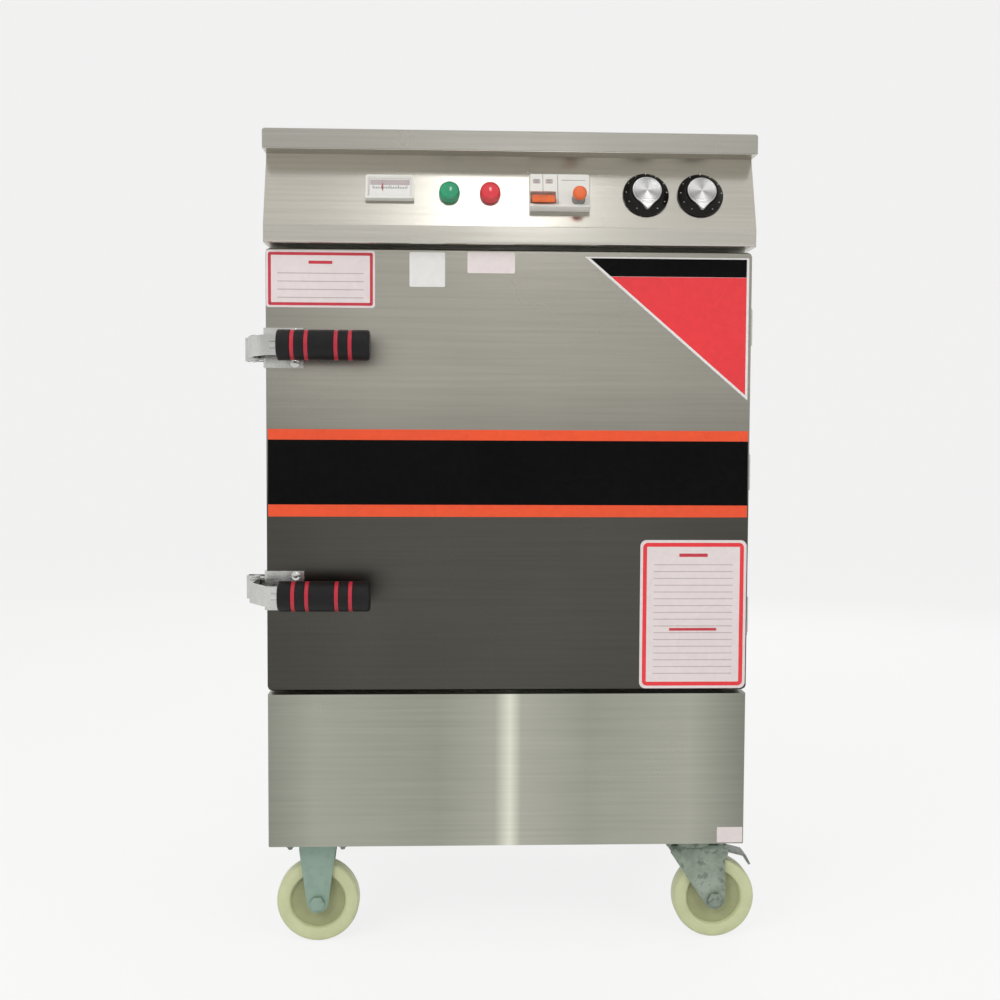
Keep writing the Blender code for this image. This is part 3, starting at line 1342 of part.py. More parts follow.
def make_latch_keeper(name, z, steel, cabinet):
    """A bracket on the side wall, folded out and forward to a lip that the finger hooks behind."""
    foot_x = LATCH_PIVOT_OUT - SEAT_GAP
    arm_x = -KEEPER_ARM_OUT - KEEPER_SHEET
    lip_y = FINGER_LENGTH - HOOK_DEPTH - KEEPER_LIP_GAP - KEEPER_SHEET
    back_y = FINGER_LENGTH + KEEPER_END_CLEARANCE + KEEPER_SHEET
    corners = [
        (foot_x - KEEPER_SHEET, back_y + KEEPER_FOOT),
        (foot_x - KEEPER_SHEET, back_y),
        (arm_x, back_y),
        (arm_x, lip_y),
        (KEEPER_LIP_X, lip_y),
    ]
    outline = folded_sheet(list(reversed(corners)), KEEPER_SHEET, KEEPER_BEND)
    half = KEEPER_HEIGHT / 2
    return node(name, prism(outline, "Z", -half, half), steel, cabinet, (LATCH_X, LATCH_Y, z))


def make_wheel(name, nylon, axle):
    """A solid nylon wheel: flat tread, sunk web, and a hub that is bored for the axle."""
    half, hub, web = WHEEL_WIDTH / 2, HUB_WIDTH / 2, WHEEL_WEB / 2
    rim, soft = WHEEL_RADIUS - WHEEL_RIM, WHEEL_RIM_SLOPE
    bore = AXLE_RADIUS + RUNNING_GAP
    side = [
        (bore, hub),
        (HUB_RADIUS, hub),
        (HUB_RADIUS, web),
        (rim, web),
        (rim + soft, half),
        (WHEEL_RADIUS, half),
    ]
    profile = side + [(radius, -y) for radius, y in reversed(side)]
    wheel = turned(profile, "Y", WHEEL_STEPS, bored=True, start=math.pi / WHEEL_STEPS)
    return node(name, wheel, nylon, axle)


def fork_channel(low_x, high_x, top):
    """A channel folded over the wheel, open below, as long as the widest part of the fork."""
    inner = HUB_WIDTH / 2 + FORK_CLEARANCE
    outer = inner + FORK_SHEET
    foot = AXLE_Z - FORK_TOE_RADIUS - FORK_CLEARANCE
    corners = [(-outer, foot), (-outer, top), (outer, top), (outer, foot)]
    return prism(folded_sheet(corners, FORK_SHEET, FORK_BEND), "X", low_x, high_x)


def toe_arc(x, start_deg, end_deg, radius=FORK_TOE_RADIUS, height=AXLE_Z, steps=6):
    """Points round the lower end of a fork leg, from one angle to the other."""
    points = []
    for i in range(steps + 1):
        angle = math.radians(start_deg + (end_deg - start_deg) * i / steps)
        points.append((x + radius * math.cos(angle), height + radius * math.sin(angle)))
    return points


def axle_bolt(x):
    """The axle across a fork, with a hexagon head and nut outside the legs."""
    outer = HUB_WIDTH / 2 + FORK_CLEARANCE + FORK_SHEET
    nut = outer + AXLE_NUT_THICKNESS
    overlap = FORK_SHEET / 2
    shaft = cylinder("Y", AXLE_RADIUS, -nut, nut, PIN_STEPS, (x, AXLE_Z))
    head = cylinder("Y", AXLE_NUT_RADIUS, -nut, -outer + overlap, 6, (x, AXLE_Z))
    far = cylinder("Y", AXLE_NUT_RADIUS, outer - overlap, nut, 6, (x, AXLE_Z))
    return shaft, gathered([head, far])


def caster_plate():
    """The mounting plate, with a bolt hole in each corner."""
    low, high = CASTER_HEIGHT - PLATE_THICKNESS, CASTER_HEIGHT
    plate = prism(rectangle(PLATE_WIDTH, PLATE_LENGTH, PLATE_CORNER), "Z", low, high)
    x, y = PLATE_WIDTH / 2 - PLATE_HOLE_INSET, PLATE_LENGTH / 2 - PLATE_HOLE_INSET
    holes = [
        cylinder("Z", PLATE_HOLE_RADIUS, low - CUT_OVERRUN, high + CUT_OVERRUN, HOLE_STEPS, (a, b))
        for a in (-x, x)
        for b in (-y, y)
    ]
    return plate, gathered(holes)


def make_rigid_caster(name, zinc, nylon, cabinet, at):
    """A fixed caster: a tapered fork under its plate, and the wheel on the axle."""
    top = CASTER_HEIGHT - PLATE_THICKNESS + FORK_SHEET / 2
    half, shoulder = RIGID_FORK_WIDTH / 2, top - RIGID_SHOULDER_DROP
    outline = [(half, top + CUT_OVERRUN), (half, shoulder), *toe_arc(0, 0, -180)]
    outline += [(-half, shoulder), (-half, top + CUT_OVERRUN)]
    fork = node(f"{name}_fork", fork_channel(-half, half, top), zinc, cabinet, at)
    width = HUB_WIDTH
    keep_common(fork, prism(outline, "Y", -width, width))
    plate, holes = caster_plate()
    shaft, nuts = axle_bolt(0)
    fuse(fork, plate, shaft, nuts)
    cut(fork, holes)
    axle = axis_empty(f"{name}_axle", cabinet, Vector(at) + Vector((0, 0, AXLE_Z)))
    make_wheel(f"{name}_wheel", nylon, axle)


def make_swivel_caster(name, zinc, nylon, cabinet, at):
    """A swivel caster with a brake pedal: plate, trailing fork, wheel and pedal."""
    plate_bottom = CASTER_HEIGHT - PLATE_THICKNESS
    raceway_bottom = plate_bottom - RACEWAY_HEIGHT
    crown_top = raceway_bottom - RUNNING_GAP
    web_top = crown_top - CROWN_HEIGHT
    web_bottom = web_top - FORK_SHEET
    head_top = web_bottom - RUNNING_GAP

    plate, holes = caster_plate()
    plate = node(f"{name}_plate", plate, zinc, cabinet, at)
    raceway = turned(
        [
            (0, plate_bottom + PLATE_THICKNESS / 2),
            (RACEWAY_RADIUS, plate_bottom + PLATE_THICKNESS / 2),
            (RACEWAY_RADIUS, raceway_bottom + RACEWAY_ROUND),
            (RACEWAY_RADIUS - RACEWAY_ROUND, raceway_bottom),
            (KINGPIN_RADIUS, raceway_bottom),
            (KINGPIN_RADIUS, head_top),
            (KINGPIN_HEAD_RADIUS, head_top),
            (KINGPIN_HEAD_RADIUS, head_top - KINGPIN_HEAD_HEIGHT),
            (0, head_top - KINGPIN_HEAD_HEIGHT),
        ],
        "Z",
    )
    fuse(plate, raceway)
    cut(plate, holes)

    swivel = axis_empty(f"{name}_swivel", cabinet, at)
    half = CROWN_WIDTH / 2
    right = PEDAL_X + PEDAL_EAR_RADIUS
    fork = node(f"{name}_fork", fork_channel(-half, right, web_top), zinc, swivel)
    outline = [
        (-half, web_top + CUT_OVERRUN),
        (right - PEDAL_EAR_RADIUS / 2, web_top + CUT_OVERRUN),
        *toe_arc(PEDAL_X, 30, -60, PEDAL_EAR_RADIUS, PEDAL_Z, 3),
        *toe_arc(TRAIL, 0, -150),
        (-half, web_top - CROWN_DROP),
    ]
    width = HUB_WIDTH
    keep_common(fork, prism(outline, "Y", -width, width))
    crown = cylinder("Z", CROWN_RADIUS, web_top - FORK_SHEET / 2, crown_top)
    shaft, nuts = axle_bolt(TRAIL)
    inner = HUB_WIDTH / 2 + FORK_CLEARANCE
    pedal_pin = cylinder(
        "Y", PEDAL_PIN_RADIUS, -inner - FORK_SHEET, inner + FORK_SHEET, PIN_STEPS, (PEDAL_X, PEDAL_Z)
    )
    fuse(fork, crown, shaft, nuts, pedal_pin)
    bore = KINGPIN_RADIUS + RUNNING_GAP
    cut(fork, cylinder("Z", bore, web_bottom - CUT_OVERRUN, crown_top + CUT_OVERRUN))

    axle = axis_empty(f"{name}_axle", swivel, (TRAIL, 0, AXLE_Z))
    make_wheel(f"{name}_wheel", nylon, axle)
    make_brake_pedal(f"{name}_brake_pedal", zinc, swivel)


def make_brake_pedal(name, zinc, swivel):
    """A bent treadle on a cross pin above the wheel; pressed, its toe closes on the tread."""
    pivot = axis_empty(f"{name}_axis", swivel, (PEDAL_X, 0, PEDAL_Z))
    corners = [
        (0, PEDAL_BOSS_RADIUS - PEDAL_THICKNESS / 2),
        (PEDAL_ARM_LENGTH, -PEDAL_ARM_DROP + PEDAL_THICKNESS / 2),
        (PEDAL_ARM_LENGTH + PEDAL_TOE_LENGTH, -PEDAL_ARM_DROP - PEDAL_TOE_DROP),
    ]
    half = PEDAL_WIDTH / 2
    treadle = prism(folded_sheet(corners, PEDAL_THICKNESS, PEDAL_BEND), "Y", -half, half)
    pedal = node(name, treadle, zinc, pivot)
    fuse(pedal, cylinder("Y", PEDAL_BOSS_RADIUS, -half, half, PIN_STEPS))
    bore = PEDAL_PIN_RADIUS + RUNNING_GAP
    return cut(pedal, cylinder("Y", bore, -half - CUT_OVERRUN, half + CUT_OVERRUN, PIN_STEPS))


def make_steam_vent(steel, cabinet):
    """An elbow from the chamber's back wall, out through the shell and up."""
    x, z, _ = rear_holes()["vent"]
    out = BACK_Y + VENT_REACH

    def elbow(radius, overrun):
        corners = [
            (CHAMBER_BACK_Y + SHEET - overrun - CUT_OVERRUN, z),
            (out, z),
            (out, z + VENT_RISE + overrun),
        ]
        path = rounded(corners, VENT_BEND, closed=False, steps=4)
        return tube("vent_path", [(x, y, height) for y, height in path], radius, 2)

    vent = node("steam_vent", elbow(VENT_RADIUS, 0), steel, cabinet)
    near = BACK_Y + SEAT_GAP
    flange = cylinder("Y", VENT_FLANGE_RADIUS, near, near + VENT_FLANGE_THICKNESS, centre=(x, z))
    fuse(vent, flange)
    return cut(vent, elbow(VENT_BORE_RADIUS, CUT_OVERRUN))


def make_feed_tank(steel, cabinet):
    """The float box on the back: open towards the wall, lidded, with its inlet and level pipe."""
    x, pipe_z, _ = rear_holes()["feed"]
    near, far = BACK_Y + SEAT_GAP, BACK_Y + SEAT_GAP + FEED_TANK_DEPTH
    bottom = pipe_z - FEED_BELOW_PIPE
    top = bottom + FEED_TANK_HEIGHT
    centre = (x, (bottom + top) / 2)
    outer = rectangle(FEED_TANK_WIDTH, FEED_TANK_HEIGHT, BEND_RADIUS, centre)
    inner = rectangle(
        FEED_TANK_WIDTH - 2 * SHEET, FEED_TANK_HEIGHT - 2 * SHEET, BEND_RADIUS - SHEET, centre
    )
    sections = [(outer, far), (outer, near), (inner, near), (inner, far - SHEET)]
    tank = node("feed_tank", stacked(sections, "Y"), steel, cabinet)
    half = FEED_TANK_WIDTH / 2
    lid = box(
        (x - half - FEED_LID_LAP, near, top - SHEET),
        (x + half + FEED_LID_LAP, far + FEED_LID_LAP, top + FEED_LID_THICKNESS),
    )
    middle = (near + far) / 2
    inlet = cylinder(
        "X",
        FEED_INLET_RADIUS,
        x + half - SHEET,
        x + half + FEED_INLET_LENGTH,
        centre=(middle, top - FEED_INLET_BELOW_LID),
    )
    pipe = cylinder("Y", FEED_PIPE_RADIUS, TANK_BACK_Y, far - SHEET / 2, centre=(x, pipe_z))
    return fuse(tank, lid, inlet, pipe)


def make_drain_valve(brass, cabinet):
    """A ball valve on the tank's drain pipe: locknut, hexagon ends, round body, outlet, stem."""
    near = BACK_Y + SEAT_GAP
    start = BACK_Y + DRAIN_STANDOFF
    ball = start + DRAIN_HEX_LENGTH
    after = ball + DRAIN_BALL_LENGTH
    round_over = DRAIN_BALL_LENGTH / 4
    profile = [
        (DRAIN_BORE_RADIUS, TANK_BACK_Y),
        (DRAIN_PIPE_RADIUS, TANK_BACK_Y),
        (DRAIN_PIPE_RADIUS, near),
        (DRAIN_LOCKNUT_RADIUS, near),
        (DRAIN_LOCKNUT_RADIUS, near + DRAIN_LOCKNUT_THICKNESS),
        (DRAIN_PIPE_RADIUS, near + DRAIN_LOCKNUT_THICKNESS),
        (DRAIN_PIPE_RADIUS, ball),
        (DRAIN_HEX_RADIUS, ball),
        (DRAIN_BALL_RADIUS, ball + round_over),
        (DRAIN_BALL_RADIUS, after - round_over),
        (DRAIN_HEX_RADIUS, after),
        (DRAIN_PIPE_RADIUS, after),
        (DRAIN_PIPE_RADIUS, DRAIN_END_Y),
        (DRAIN_BORE_RADIUS, DRAIN_END_Y),
    ]
    body = moved(turned(profile, "Y", PIN_STEPS, bored=True), (DRAIN_X, 0, DRAIN_Z))
    valve = node("drain_valve", body, brass, cabinet)
    centre = (DRAIN_X, DRAIN_Z)
    hexes = []
    for low in (start, after - round_over / 2):
        outside = circle(DRAIN_HEX_RADIUS, 6, centre)
        inside = circle(DRAIN_BORE_RADIUS, 6, centre)
        high = low + DRAIN_HEX_LENGTH
        hexes.append(stacked([(outside, low), (outside, high), (inside, high), (inside, low)], "Y", True))
    top = DRAIN_Z + STEM_HEIGHT
    stem_at = (DRAIN_X, DRAIN_BODY_Y)
    collar_top = DRAIN_Z + STEM_COLLAR_HEIGHT
    stem = gathered([cylinder("Z", STEM_RADIUS, DRAIN_Z + DRAIN_BORE_RADIUS, top, PIN_STEPS, stem_at)])
    collar = cylinder("Z", STEM_COLLAR_RADIUS, DRAIN_Z + DRAIN_HEX_RADIUS, collar_top, PIN_STEPS, stem_at)
    return fuse(valve, *hexes, stem, collar)


def make_drain_handle(plastic, cabinet):
    """The cranked lever on the drain valve's stem, across the pipe while the valve is shut."""
    pivot = axis_empty("drain_handle_axis", cabinet, (DRAIN_X, DRAIN_BODY_Y, DRAIN_Z))
    low = STEM_COLLAR_HEIGHT + RUNNING_GAP
    corners = [
        (-HANDLE_WIDTH / 2, low + HANDLE_THICKNESS),
        (HANDLE_LENGTH * HANDLE_CRANK_SHARE, low + HANDLE_THICKNESS),
        (HANDLE_LENGTH * HANDLE_CRANK_END_SHARE, low + HANDLE_THICKNESS + HANDLE_CRANK),
        (HANDLE_LENGTH, low + HANDLE_THICKNESS + HANDLE_CRANK),
    ]
    half = HANDLE_WIDTH / 2
    strap = prism(folded_sheet(corners, HANDLE_THICKNESS, BEND_RADIUS), "Y", -half, half)
    handle = node("drain_valve_handle", strap, plastic, pivot)
    bore = STEM_RADIUS + RUNNING_GAP
    return cut(handle, cylinder("Z", bore, low - CUT_OVERRUN, low + 2 * CUT_OVERRUN, PIN_STEPS))


def make_cable_gland(plastic, cabinet):
    """The strain relief where a supply cord would enter, with its nut inside the shell."""
    near = BACK_Y + SEAT_GAP
    inside = BACK_Y - SHEET - SEAT_GAP
    dome = near + GLAND_BODY_LENGTH
    profile = [
        (GLAND_BORE_RADIUS, inside - 2 * GLAND_NUT_THICKNESS),
        (GLAND_THREAD_RADIUS, inside - 2 * GLAND_NUT_THICKNESS),
        (GLAND_THREAD_RADIUS, inside - GLAND_NUT_THICKNESS),
        (GLAND_BODY_RADIUS, inside - GLAND_NUT_THICKNESS),
        (GLAND_BODY_RADIUS, inside),
        (GLAND_THREAD_RADIUS, inside),
        (GLAND_THREAD_RADIUS, near),
        (GLAND_BODY_RADIUS, near),
        (GLAND_BODY_RADIUS, dome),
        (GLAND_DOME_RADIUS, dome),
        (GLAND_DOME_RADIUS, dome + GLAND_DOME_LENGTH / 2),
        (GLAND_THREAD_RADIUS, dome + GLAND_DOME_LENGTH),
        (GLAND_BORE_RADIUS, dome + GLAND_DOME_LENGTH),
    ]
    gland = moved(turned(profile, "Y", PIN_STEPS, bored=True), (GLAND_X, 0, GLAND_Z))
    return node("cable_gland", gland, plastic, cabinet)


def make_materials():
    return {
        "steel": make_material("brushed_stainless", (0.62, 0.61, 0.57), 0.32, 1.0),
        "pan_steel": make_material("tray_stainless", (0.70, 0.70, 0.69), 0.25, 1.0),
        "fittings": make_material("bright_steel", (0.66, 0.66, 0.65), 0.35, 1.0),
        "heater": make_material("heater_steel", (0.35, 0.33, 0.31), 0.40, 1.0),
        "zinc": make_material("zinc_plate", (0.56, 0.64, 0.60), 0.42, 1.0),
        "brass": make_material("nickelled_brass", (0.66, 0.62, 0.52), 0.35, 1.0),
        "nylon": make_material("cream_nylon", (0.72, 0.71, 0.47), 0.38),
        "rubber": make_material("black_rubber", (0.020, 0.021, 0.022), 0.45),
        "silicone": make_material("grey_silicone", (0.45, 0.45, 0.44), 0.60),
        "white": make_material("white_plastic", (0.83, 0.82, 0.79), 0.35),
        "black": make_material("black_plastic", (0.018, 0.017, 0.016), 0.38),
        "orange": make_material("orange_plastic", (0.80, 0.17, 0.05), 0.35),
        "green": make_material("green_lens", (0.01, 0.30, 0.13), 0.15),
        "red": make_material("red_lens", (0.50, 0.02, 0.02), 0.15),
        "handle_red": make_material("red_sleeve", (0.45, 0.03, 0.02), 0.45),
    }


def make_carcass(paint, cabinet):
    make_outer_shell(paint["steel"], cabinet)
    make_inner_chamber(paint["steel"], cabinet)
    make_water_tank(paint["steel"], cabinet)
    make_heating_element(paint["heater"], cabinet)
    make_tray_rack(-1, "tray_rack_left", paint["steel"], cabinet)
    make_tray_rack(1, "tray_rack_right", paint["steel"], cabinet)
    for number, shelf in enumerate(shelf_heights(), start=1):
        make_rice_tray(number, shelf, paint["pan_steel"], cabinet)
    make_chassis_pan(paint["fittings"], cabinet)
    make_base_panel(paint["steel"], cabinet)
    make_top_lid(paint["steel"], cabinet)
    make_control_panel(paint["steel"], cabinet)


def make_controls(paint, cabinet):
    face = face_frame(cabinet)
    make_thermometer(paint["white"], face)
    make_lamp("green_lamp", GREEN_LAMP_X, paint["green"], face)
    make_lamp("red_lamp", RED_LAMP_X, paint["red"], face)
    make_breaker_housing(paint["white"], face)
    make_breaker_toggle(paint["orange"], face)
    make_push_button(paint["orange"], face)
    make_switch_body("temperature_switch", TEMPERATURE_KNOB_X, paint["black"], face)
    make_switch_body("timer_switch", TIMER_KNOB_X, paint["black"], face)
    make_knob("temperature_knob", TEMPERATURE_KNOB_X, paint["black"], face)
    make_knob("timer_knob", TIMER_KNOB_X, paint["black"], face)


def make_door(paint, cabinet):
    door = axis_empty("door_axis", cabinet, (HINGE_X, HINGE_Y, 0))
    back = -door.location
    make_door_skin(paint["steel"], door, back)
    make_door_liner(paint["steel"], door, back)
    make_door_gasket(paint["silicone"], door, back)
    heights = {
        "lower_hinge": DOOR_BOTTOM + OUTER_HINGE_INSET,
        "middle_hinge": (DOOR_BOTTOM + DOOR_TOP) / 2,
        "upper_hinge": DOOR_TOP - OUTER_HINGE_INSET,
    }
    for name, z in heights.items():
        make_hinge(name, z, paint["fittings"], cabinet, door)
    for place, z in (("upper", UPPER_LATCH_Z), ("lower", LOWER_LATCH_Z)):
        make_latch_bracket(f"{place}_latch_bracket", z, paint["fittings"], door)
        make_latch_keeper(f"{place}_latch_keeper", z, paint["fittings"], cabinet)
        latch = axis_empty(
            f"{place}_latch_axis", door, Vector((LATCH_X, LATCH_Y, z)) - door.location
        )
        make_latch_lever(f"{place}_latch_lever", paint["fittings"], latch)
        make_latch_grip(f"{place}_latch_grip", paint["rubber"], latch)


def make_casters(paint, cabinet):
    for place, y in (("front", FRONT_CASTER_Y), ("rear", REAR_CASTER_Y)):
        make_rigid_caster(
            f"{place}_rigid_caster", paint["zinc"], paint["nylon"], cabinet, (-CASTER_X, y, 0)
        )
        make_swivel_caster(
            f"{place}_swivel_caster", paint["zinc"], paint["nylon"], cabinet, (CASTER_X, y, 0)
        )


def make_rear_fittings(paint, cabinet):
    make_steam_vent(paint["steel"], cabinet)
    make_feed_tank(paint["steel"], cabinet)
    make_drain_valve(paint["brass"], cabinet)
    make_drain_handle(paint["handle_red"], cabinet)
    make_cable_gland(paint["black"], cabinet)


def main():
    clear_scene()
    paint = make_materials()
    cabinet = axis_empty("cabinet", None, ORIGIN_SHIFT)
    make_carcass(paint, cabinet)
    make_controls(paint, cabinet)
    make_door(paint, cabinet)
    make_casters(paint, cabinet)
    make_rear_fittings(paint, cabinet)


main()
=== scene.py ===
"""Dressing of a rice steamer cabinet: finishes for its sheet metal and fittings, and smooth detailed
pieces over the turned and moulded ones. Metres, X to the viewer's right, Y to the back, Z up.
"""

import json
import math

import bmesh
import bpy
import numpy as np
from mathutils import Matrix, Vector


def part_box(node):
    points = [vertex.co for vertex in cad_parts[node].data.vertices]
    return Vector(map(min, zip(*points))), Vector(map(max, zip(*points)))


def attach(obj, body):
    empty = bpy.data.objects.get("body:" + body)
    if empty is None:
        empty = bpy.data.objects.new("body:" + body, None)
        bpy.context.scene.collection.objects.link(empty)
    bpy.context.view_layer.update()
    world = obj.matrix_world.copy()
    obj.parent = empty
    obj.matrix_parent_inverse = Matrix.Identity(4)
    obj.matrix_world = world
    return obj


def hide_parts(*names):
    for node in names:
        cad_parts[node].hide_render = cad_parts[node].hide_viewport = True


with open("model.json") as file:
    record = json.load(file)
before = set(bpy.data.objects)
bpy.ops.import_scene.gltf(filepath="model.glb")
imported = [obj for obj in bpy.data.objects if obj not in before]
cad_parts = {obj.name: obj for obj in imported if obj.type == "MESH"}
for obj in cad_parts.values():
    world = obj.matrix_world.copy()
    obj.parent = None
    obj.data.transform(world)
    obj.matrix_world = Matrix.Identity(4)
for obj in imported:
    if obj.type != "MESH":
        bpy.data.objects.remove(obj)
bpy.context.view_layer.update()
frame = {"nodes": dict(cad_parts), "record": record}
nodes = frame["nodes"]

# Planes and axes of the cabinet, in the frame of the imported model
MIDDLE_X = 0.0033
DOOR_FRONT_Y = -0.2953
BACK_Y = 0.30465
BODY_LEFT_X, BODY_RIGHT_X = -0.3467, 0.3533
BAND_FRONT_Y, BAND_TOP_Z = -0.31735, 1.058
FACE_DEPTH, FACE_HEIGHT = 0.038, 0.107
FACE_TILT = math.atan2(FACE_DEPTH, FACE_HEIGHT)
SEAT_GAP = 0.0003
GRIP_RADIUS, GRIP_START_X, GRIP_LENGTH = 0.0213, -0.3217, 0.128
GRIP_Y = -0.36335
LATCH_HEIGHTS = {"upper": 0.886, "lower": 0.5375}
AXLE_Z = 0.061731
HINGE_OUTER_X = 0.3561

# Places on the slanted face: across from its middle and up from its foot
ROW_UP = 0.0515
LAMP_X = {"green_lamp": -0.088, "red_lamp": -0.030}
KNOB_X = {"temperature_knob": 0.193, "timer_knob": 0.2715}
KNOB_UP = 0.052
THERMOMETER_X, THERMOMETER_UP = -0.1725, 0.0575
BREAKER_X, BREAKER_PROUD = 0.0688, 0.0120
BUTTON_ACROSS, BUTTON_DROP = 0.0262, 0.0140
SLEEVE_LENGTH, BUTTON_TRAVEL = 0.012, 0.003
TOGGLE_PIVOT = (0.0481, -0.311335, 1.098842)

# The camera, and how bright the paper and the world are
SENSOR_WIDTH = 36.0
FOCAL_PIXELS, PICTURE_PIXELS = 1279, 1000
CAMERA_PLACE = (-0.0847, -2.1453, 0.769)
PITCH_DOWN, YAW_RIGHT, ROLL = 3.09, 2.3, 0.27
PAPER_GLOW = 0.80
WORLD_LIGHT, WORLD_SEEN = 0.46, 0.88


def axes(origin, across, up):
    """A right-handed frame: its origin, and its directions as rows, the third being across x up."""
    across, up = np.array(across, float), np.array(up, float)
    return np.array(origin, float), np.array([across, up, np.cross(across, up)])


FACE = axes((MIDDLE_X, BAND_FRONT_Y, BAND_TOP_Z), (1, 0, 0), (0, math.sin(FACE_TILT), math.cos(FACE_TILT)))
FRONT = axes((MIDDLE_X, DOOR_FRONT_Y, 0), (1, 0, 0), (0, 0, 1))


def shifted(space, x=0.0, y=0.0, z=0.0):
    """The same frame with its origin moved along its own directions."""
    origin, directions = space
    return origin + np.array([x, y, z]) @ directions, directions


def placed(shape, space):
    """Point p of the shape goes to origin + p_x across + p_y up + p_z out."""
    points, faces = shape
    origin, directions = space
    return np.asarray(points) @ directions + np.asarray(origin), faces


def raised(shape, height):
    """The shape moved along its third direction."""
    points, faces = shape
    return np.asarray(points) + np.array((0, 0, height)), faces


def gathered(*shapes):
    """Several shapes as one list of points and faces."""
    points, faces, count = [], [], 0
    for shape_points, shape_faces in shapes:
        points.append(np.asarray(shape_points, float))
        faces += [[corner + count for corner in face] for face in shape_faces]
        count += len(shape_points)
    return np.vstack(points), faces


def grid_faces(rows, columns, closed=False):
    """Four-cornered faces of a grid numbered row by row. Columns close on themselves, and rows do too
    if closed."""
    row = np.arange(rows if closed else rows - 1)[:, None]
    column = np.arange(columns)[None, :]
    after = (column + 1) % columns
    low, high = row * columns, (row + 1) % rows * columns
    return np.stack([low + column, low + after, high + after, high + column], axis=-1).reshape(-1, 4)


def turned(profile, steps=96, closed=False, start=0.0):
    """A turned shape: row i is the circle of radius r_i at height h_i, column j is at the angle
    start + 2 pi j / steps. A radius of 0 at an end closes in a fan, and closed joins the last row to
    the first."""
    radius, height = np.array(profile, float).T
    first, last = int(radius[0] < 1e-7 and not closed), int(radius[-1] < 1e-7 and not closed)
    ring_radius = radius[first : len(radius) - last][:, None]
    ring_height = height[first : len(radius) - last][:, None]
    angle = start + 2 * np.pi * np.arange(steps) / steps
    points = np.stack(
        [
            ring_radius * np.cos(angle),
            ring_radius * np.sin(angle),
            np.repeat(ring_height, steps, axis=1),
        ],
        axis=-1,
    ).reshape(-1, 3)
    faces = grid_faces(len(ring_radius), steps, closed).tolist()
    column = np.arange(steps)
    after = (column + 1) % steps
    if first:
        faces += np.stack([np.full(steps, len(points)), after, column], axis=-1).tolist()
        points = np.vstack([points, (0, 0, height[0])])
    if last:
        row = (len(ring_radius) - 1) * steps
        faces += np.stack([np.full(steps, len(points)), row + column, row + after], axis=-1).tolist()
        points = np.vstack([points, (0, 0, height[-1])])
    return points, faces


def eased(corners, reach, steps=4, closed=False):
    """A path with eased corners: near corner P it follows (1-t)^2 A + 2t(1-t) P + t^2 B, where A and B lie
    on the two sides, reach away from P or at most 0.45 of the side."""
    path = np.array(corners, float)
    before, after = np.roll(path, 1, axis=0) - path, np.roll(path, -1, axis=0) - path
    long_before = np.linalg.norm(before, axis=1, keepdims=True)
    long_after = np.linalg.norm(after, axis=1, keepdims=True)
    reach = np.broadcast_to(np.reshape(reach, (-1, 1)), (len(path), 1))
    start = path + before / np.maximum(long_before, 1e-9) * np.minimum(reach, 0.45 * long_before)
    end = path + after / np.maximum(long_after, 1e-9) * np.minimum(reach, 0.45 * long_after)
    t = np.linspace(0, 1, steps + 1)[None, :, None]
    arcs = (1 - t) ** 2 * start[:, None] + 2 * t * (1 - t) * path[:, None] + t**2 * end[:, None]
    if closed:
        return arcs.reshape(-1, path.shape[1])
    return np.vstack([path[:1], arcs[1:-1].reshape(-1, path.shape[1]), path[-1:]])


def rectangle(width, height, radius, centre=(0, 0), steps=5):
    """Corners of a rectangle, each turned into a quarter circle: centre + corner + radius (cos, sin)."""
    a, b = width / 2 - radius, height / 2 - radius
    turn = np.linspace(0, np.pi / 2, steps + 1)
    angle = (turn[None, :] + np.pi / 2 * np.arange(4)[:, None])[..., None]
    corner = np.array([(a, b), (-a, b), (-a, -b), (a, -b)])[:, None]
    points = corner + radius * np.concatenate([np.cos(angle), np.sin(angle)], axis=-1)
    return points.reshape(-1, 2) + np.array(centre)


def stacked(outline, sections, closed=False):
    """A solid through copies of one flat anticlockwise outline. Copy i is drawn in by its inset along the
    outline's own mitre directions and stands at its height. Both ends are capped, or joined if closed."""
    outline = np.array(outline, float)
    side = np.roll(outline, -1, axis=0) - outline
    side /= np.linalg.norm(side, axis=1, keepdims=True)
    out = np.stack([side[:, 1], -side[:, 0]], axis=-1)
    before = np.roll(out, 1, axis=0)
    mitre = (out + before) / (1 + np.sum(out * before, axis=1, keepdims=True))
    inset, height = np.array(sections, float).T
    flat = outline[None] - inset[:, None, None] * mitre[None]
    rise = np.broadcast_to(height[:, None, None], (len(height), len(outline), 1))
    points = np.concatenate([flat, rise], axis=-1).reshape(-1, 3)
    faces = grid_faces(len(height), len(outline), closed).tolist()
    if not closed:
        top = (len(height) - 1) * len(outline)
        faces.append(list(range(len(outline)))[::-1])
        faces.append(list(range(top, top + len(outline))))
    return points, faces


def piece(name, shape, finish, body, stands_for=(), sharp=35.0):
    """A mesh object from points and faces, with coincident points merged, riding on a body."""
    points, faces = shape
    mesh = bpy.data.meshes.new(name)
    mesh.from_pydata(np.asarray(points, float).tolist(), [], faces)
    work = bmesh.new()
    work.from_mesh(mesh)
    bmesh.ops.remove_doubles(work, verts=work.verts, dist=2e-6)
    work.to_mesh(mesh)
    work.free()
    mesh.shade_smooth()
    mesh.set_sharp_from_angle(angle=math.radians(sharp))
    mesh.materials.append(finish)
    obj = bpy.data.objects.new(name, mesh)
    bpy.context.scene.collection.objects.link(obj)
    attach(obj, body)
    if stands_for:
        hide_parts(*stands_for)
    return obj


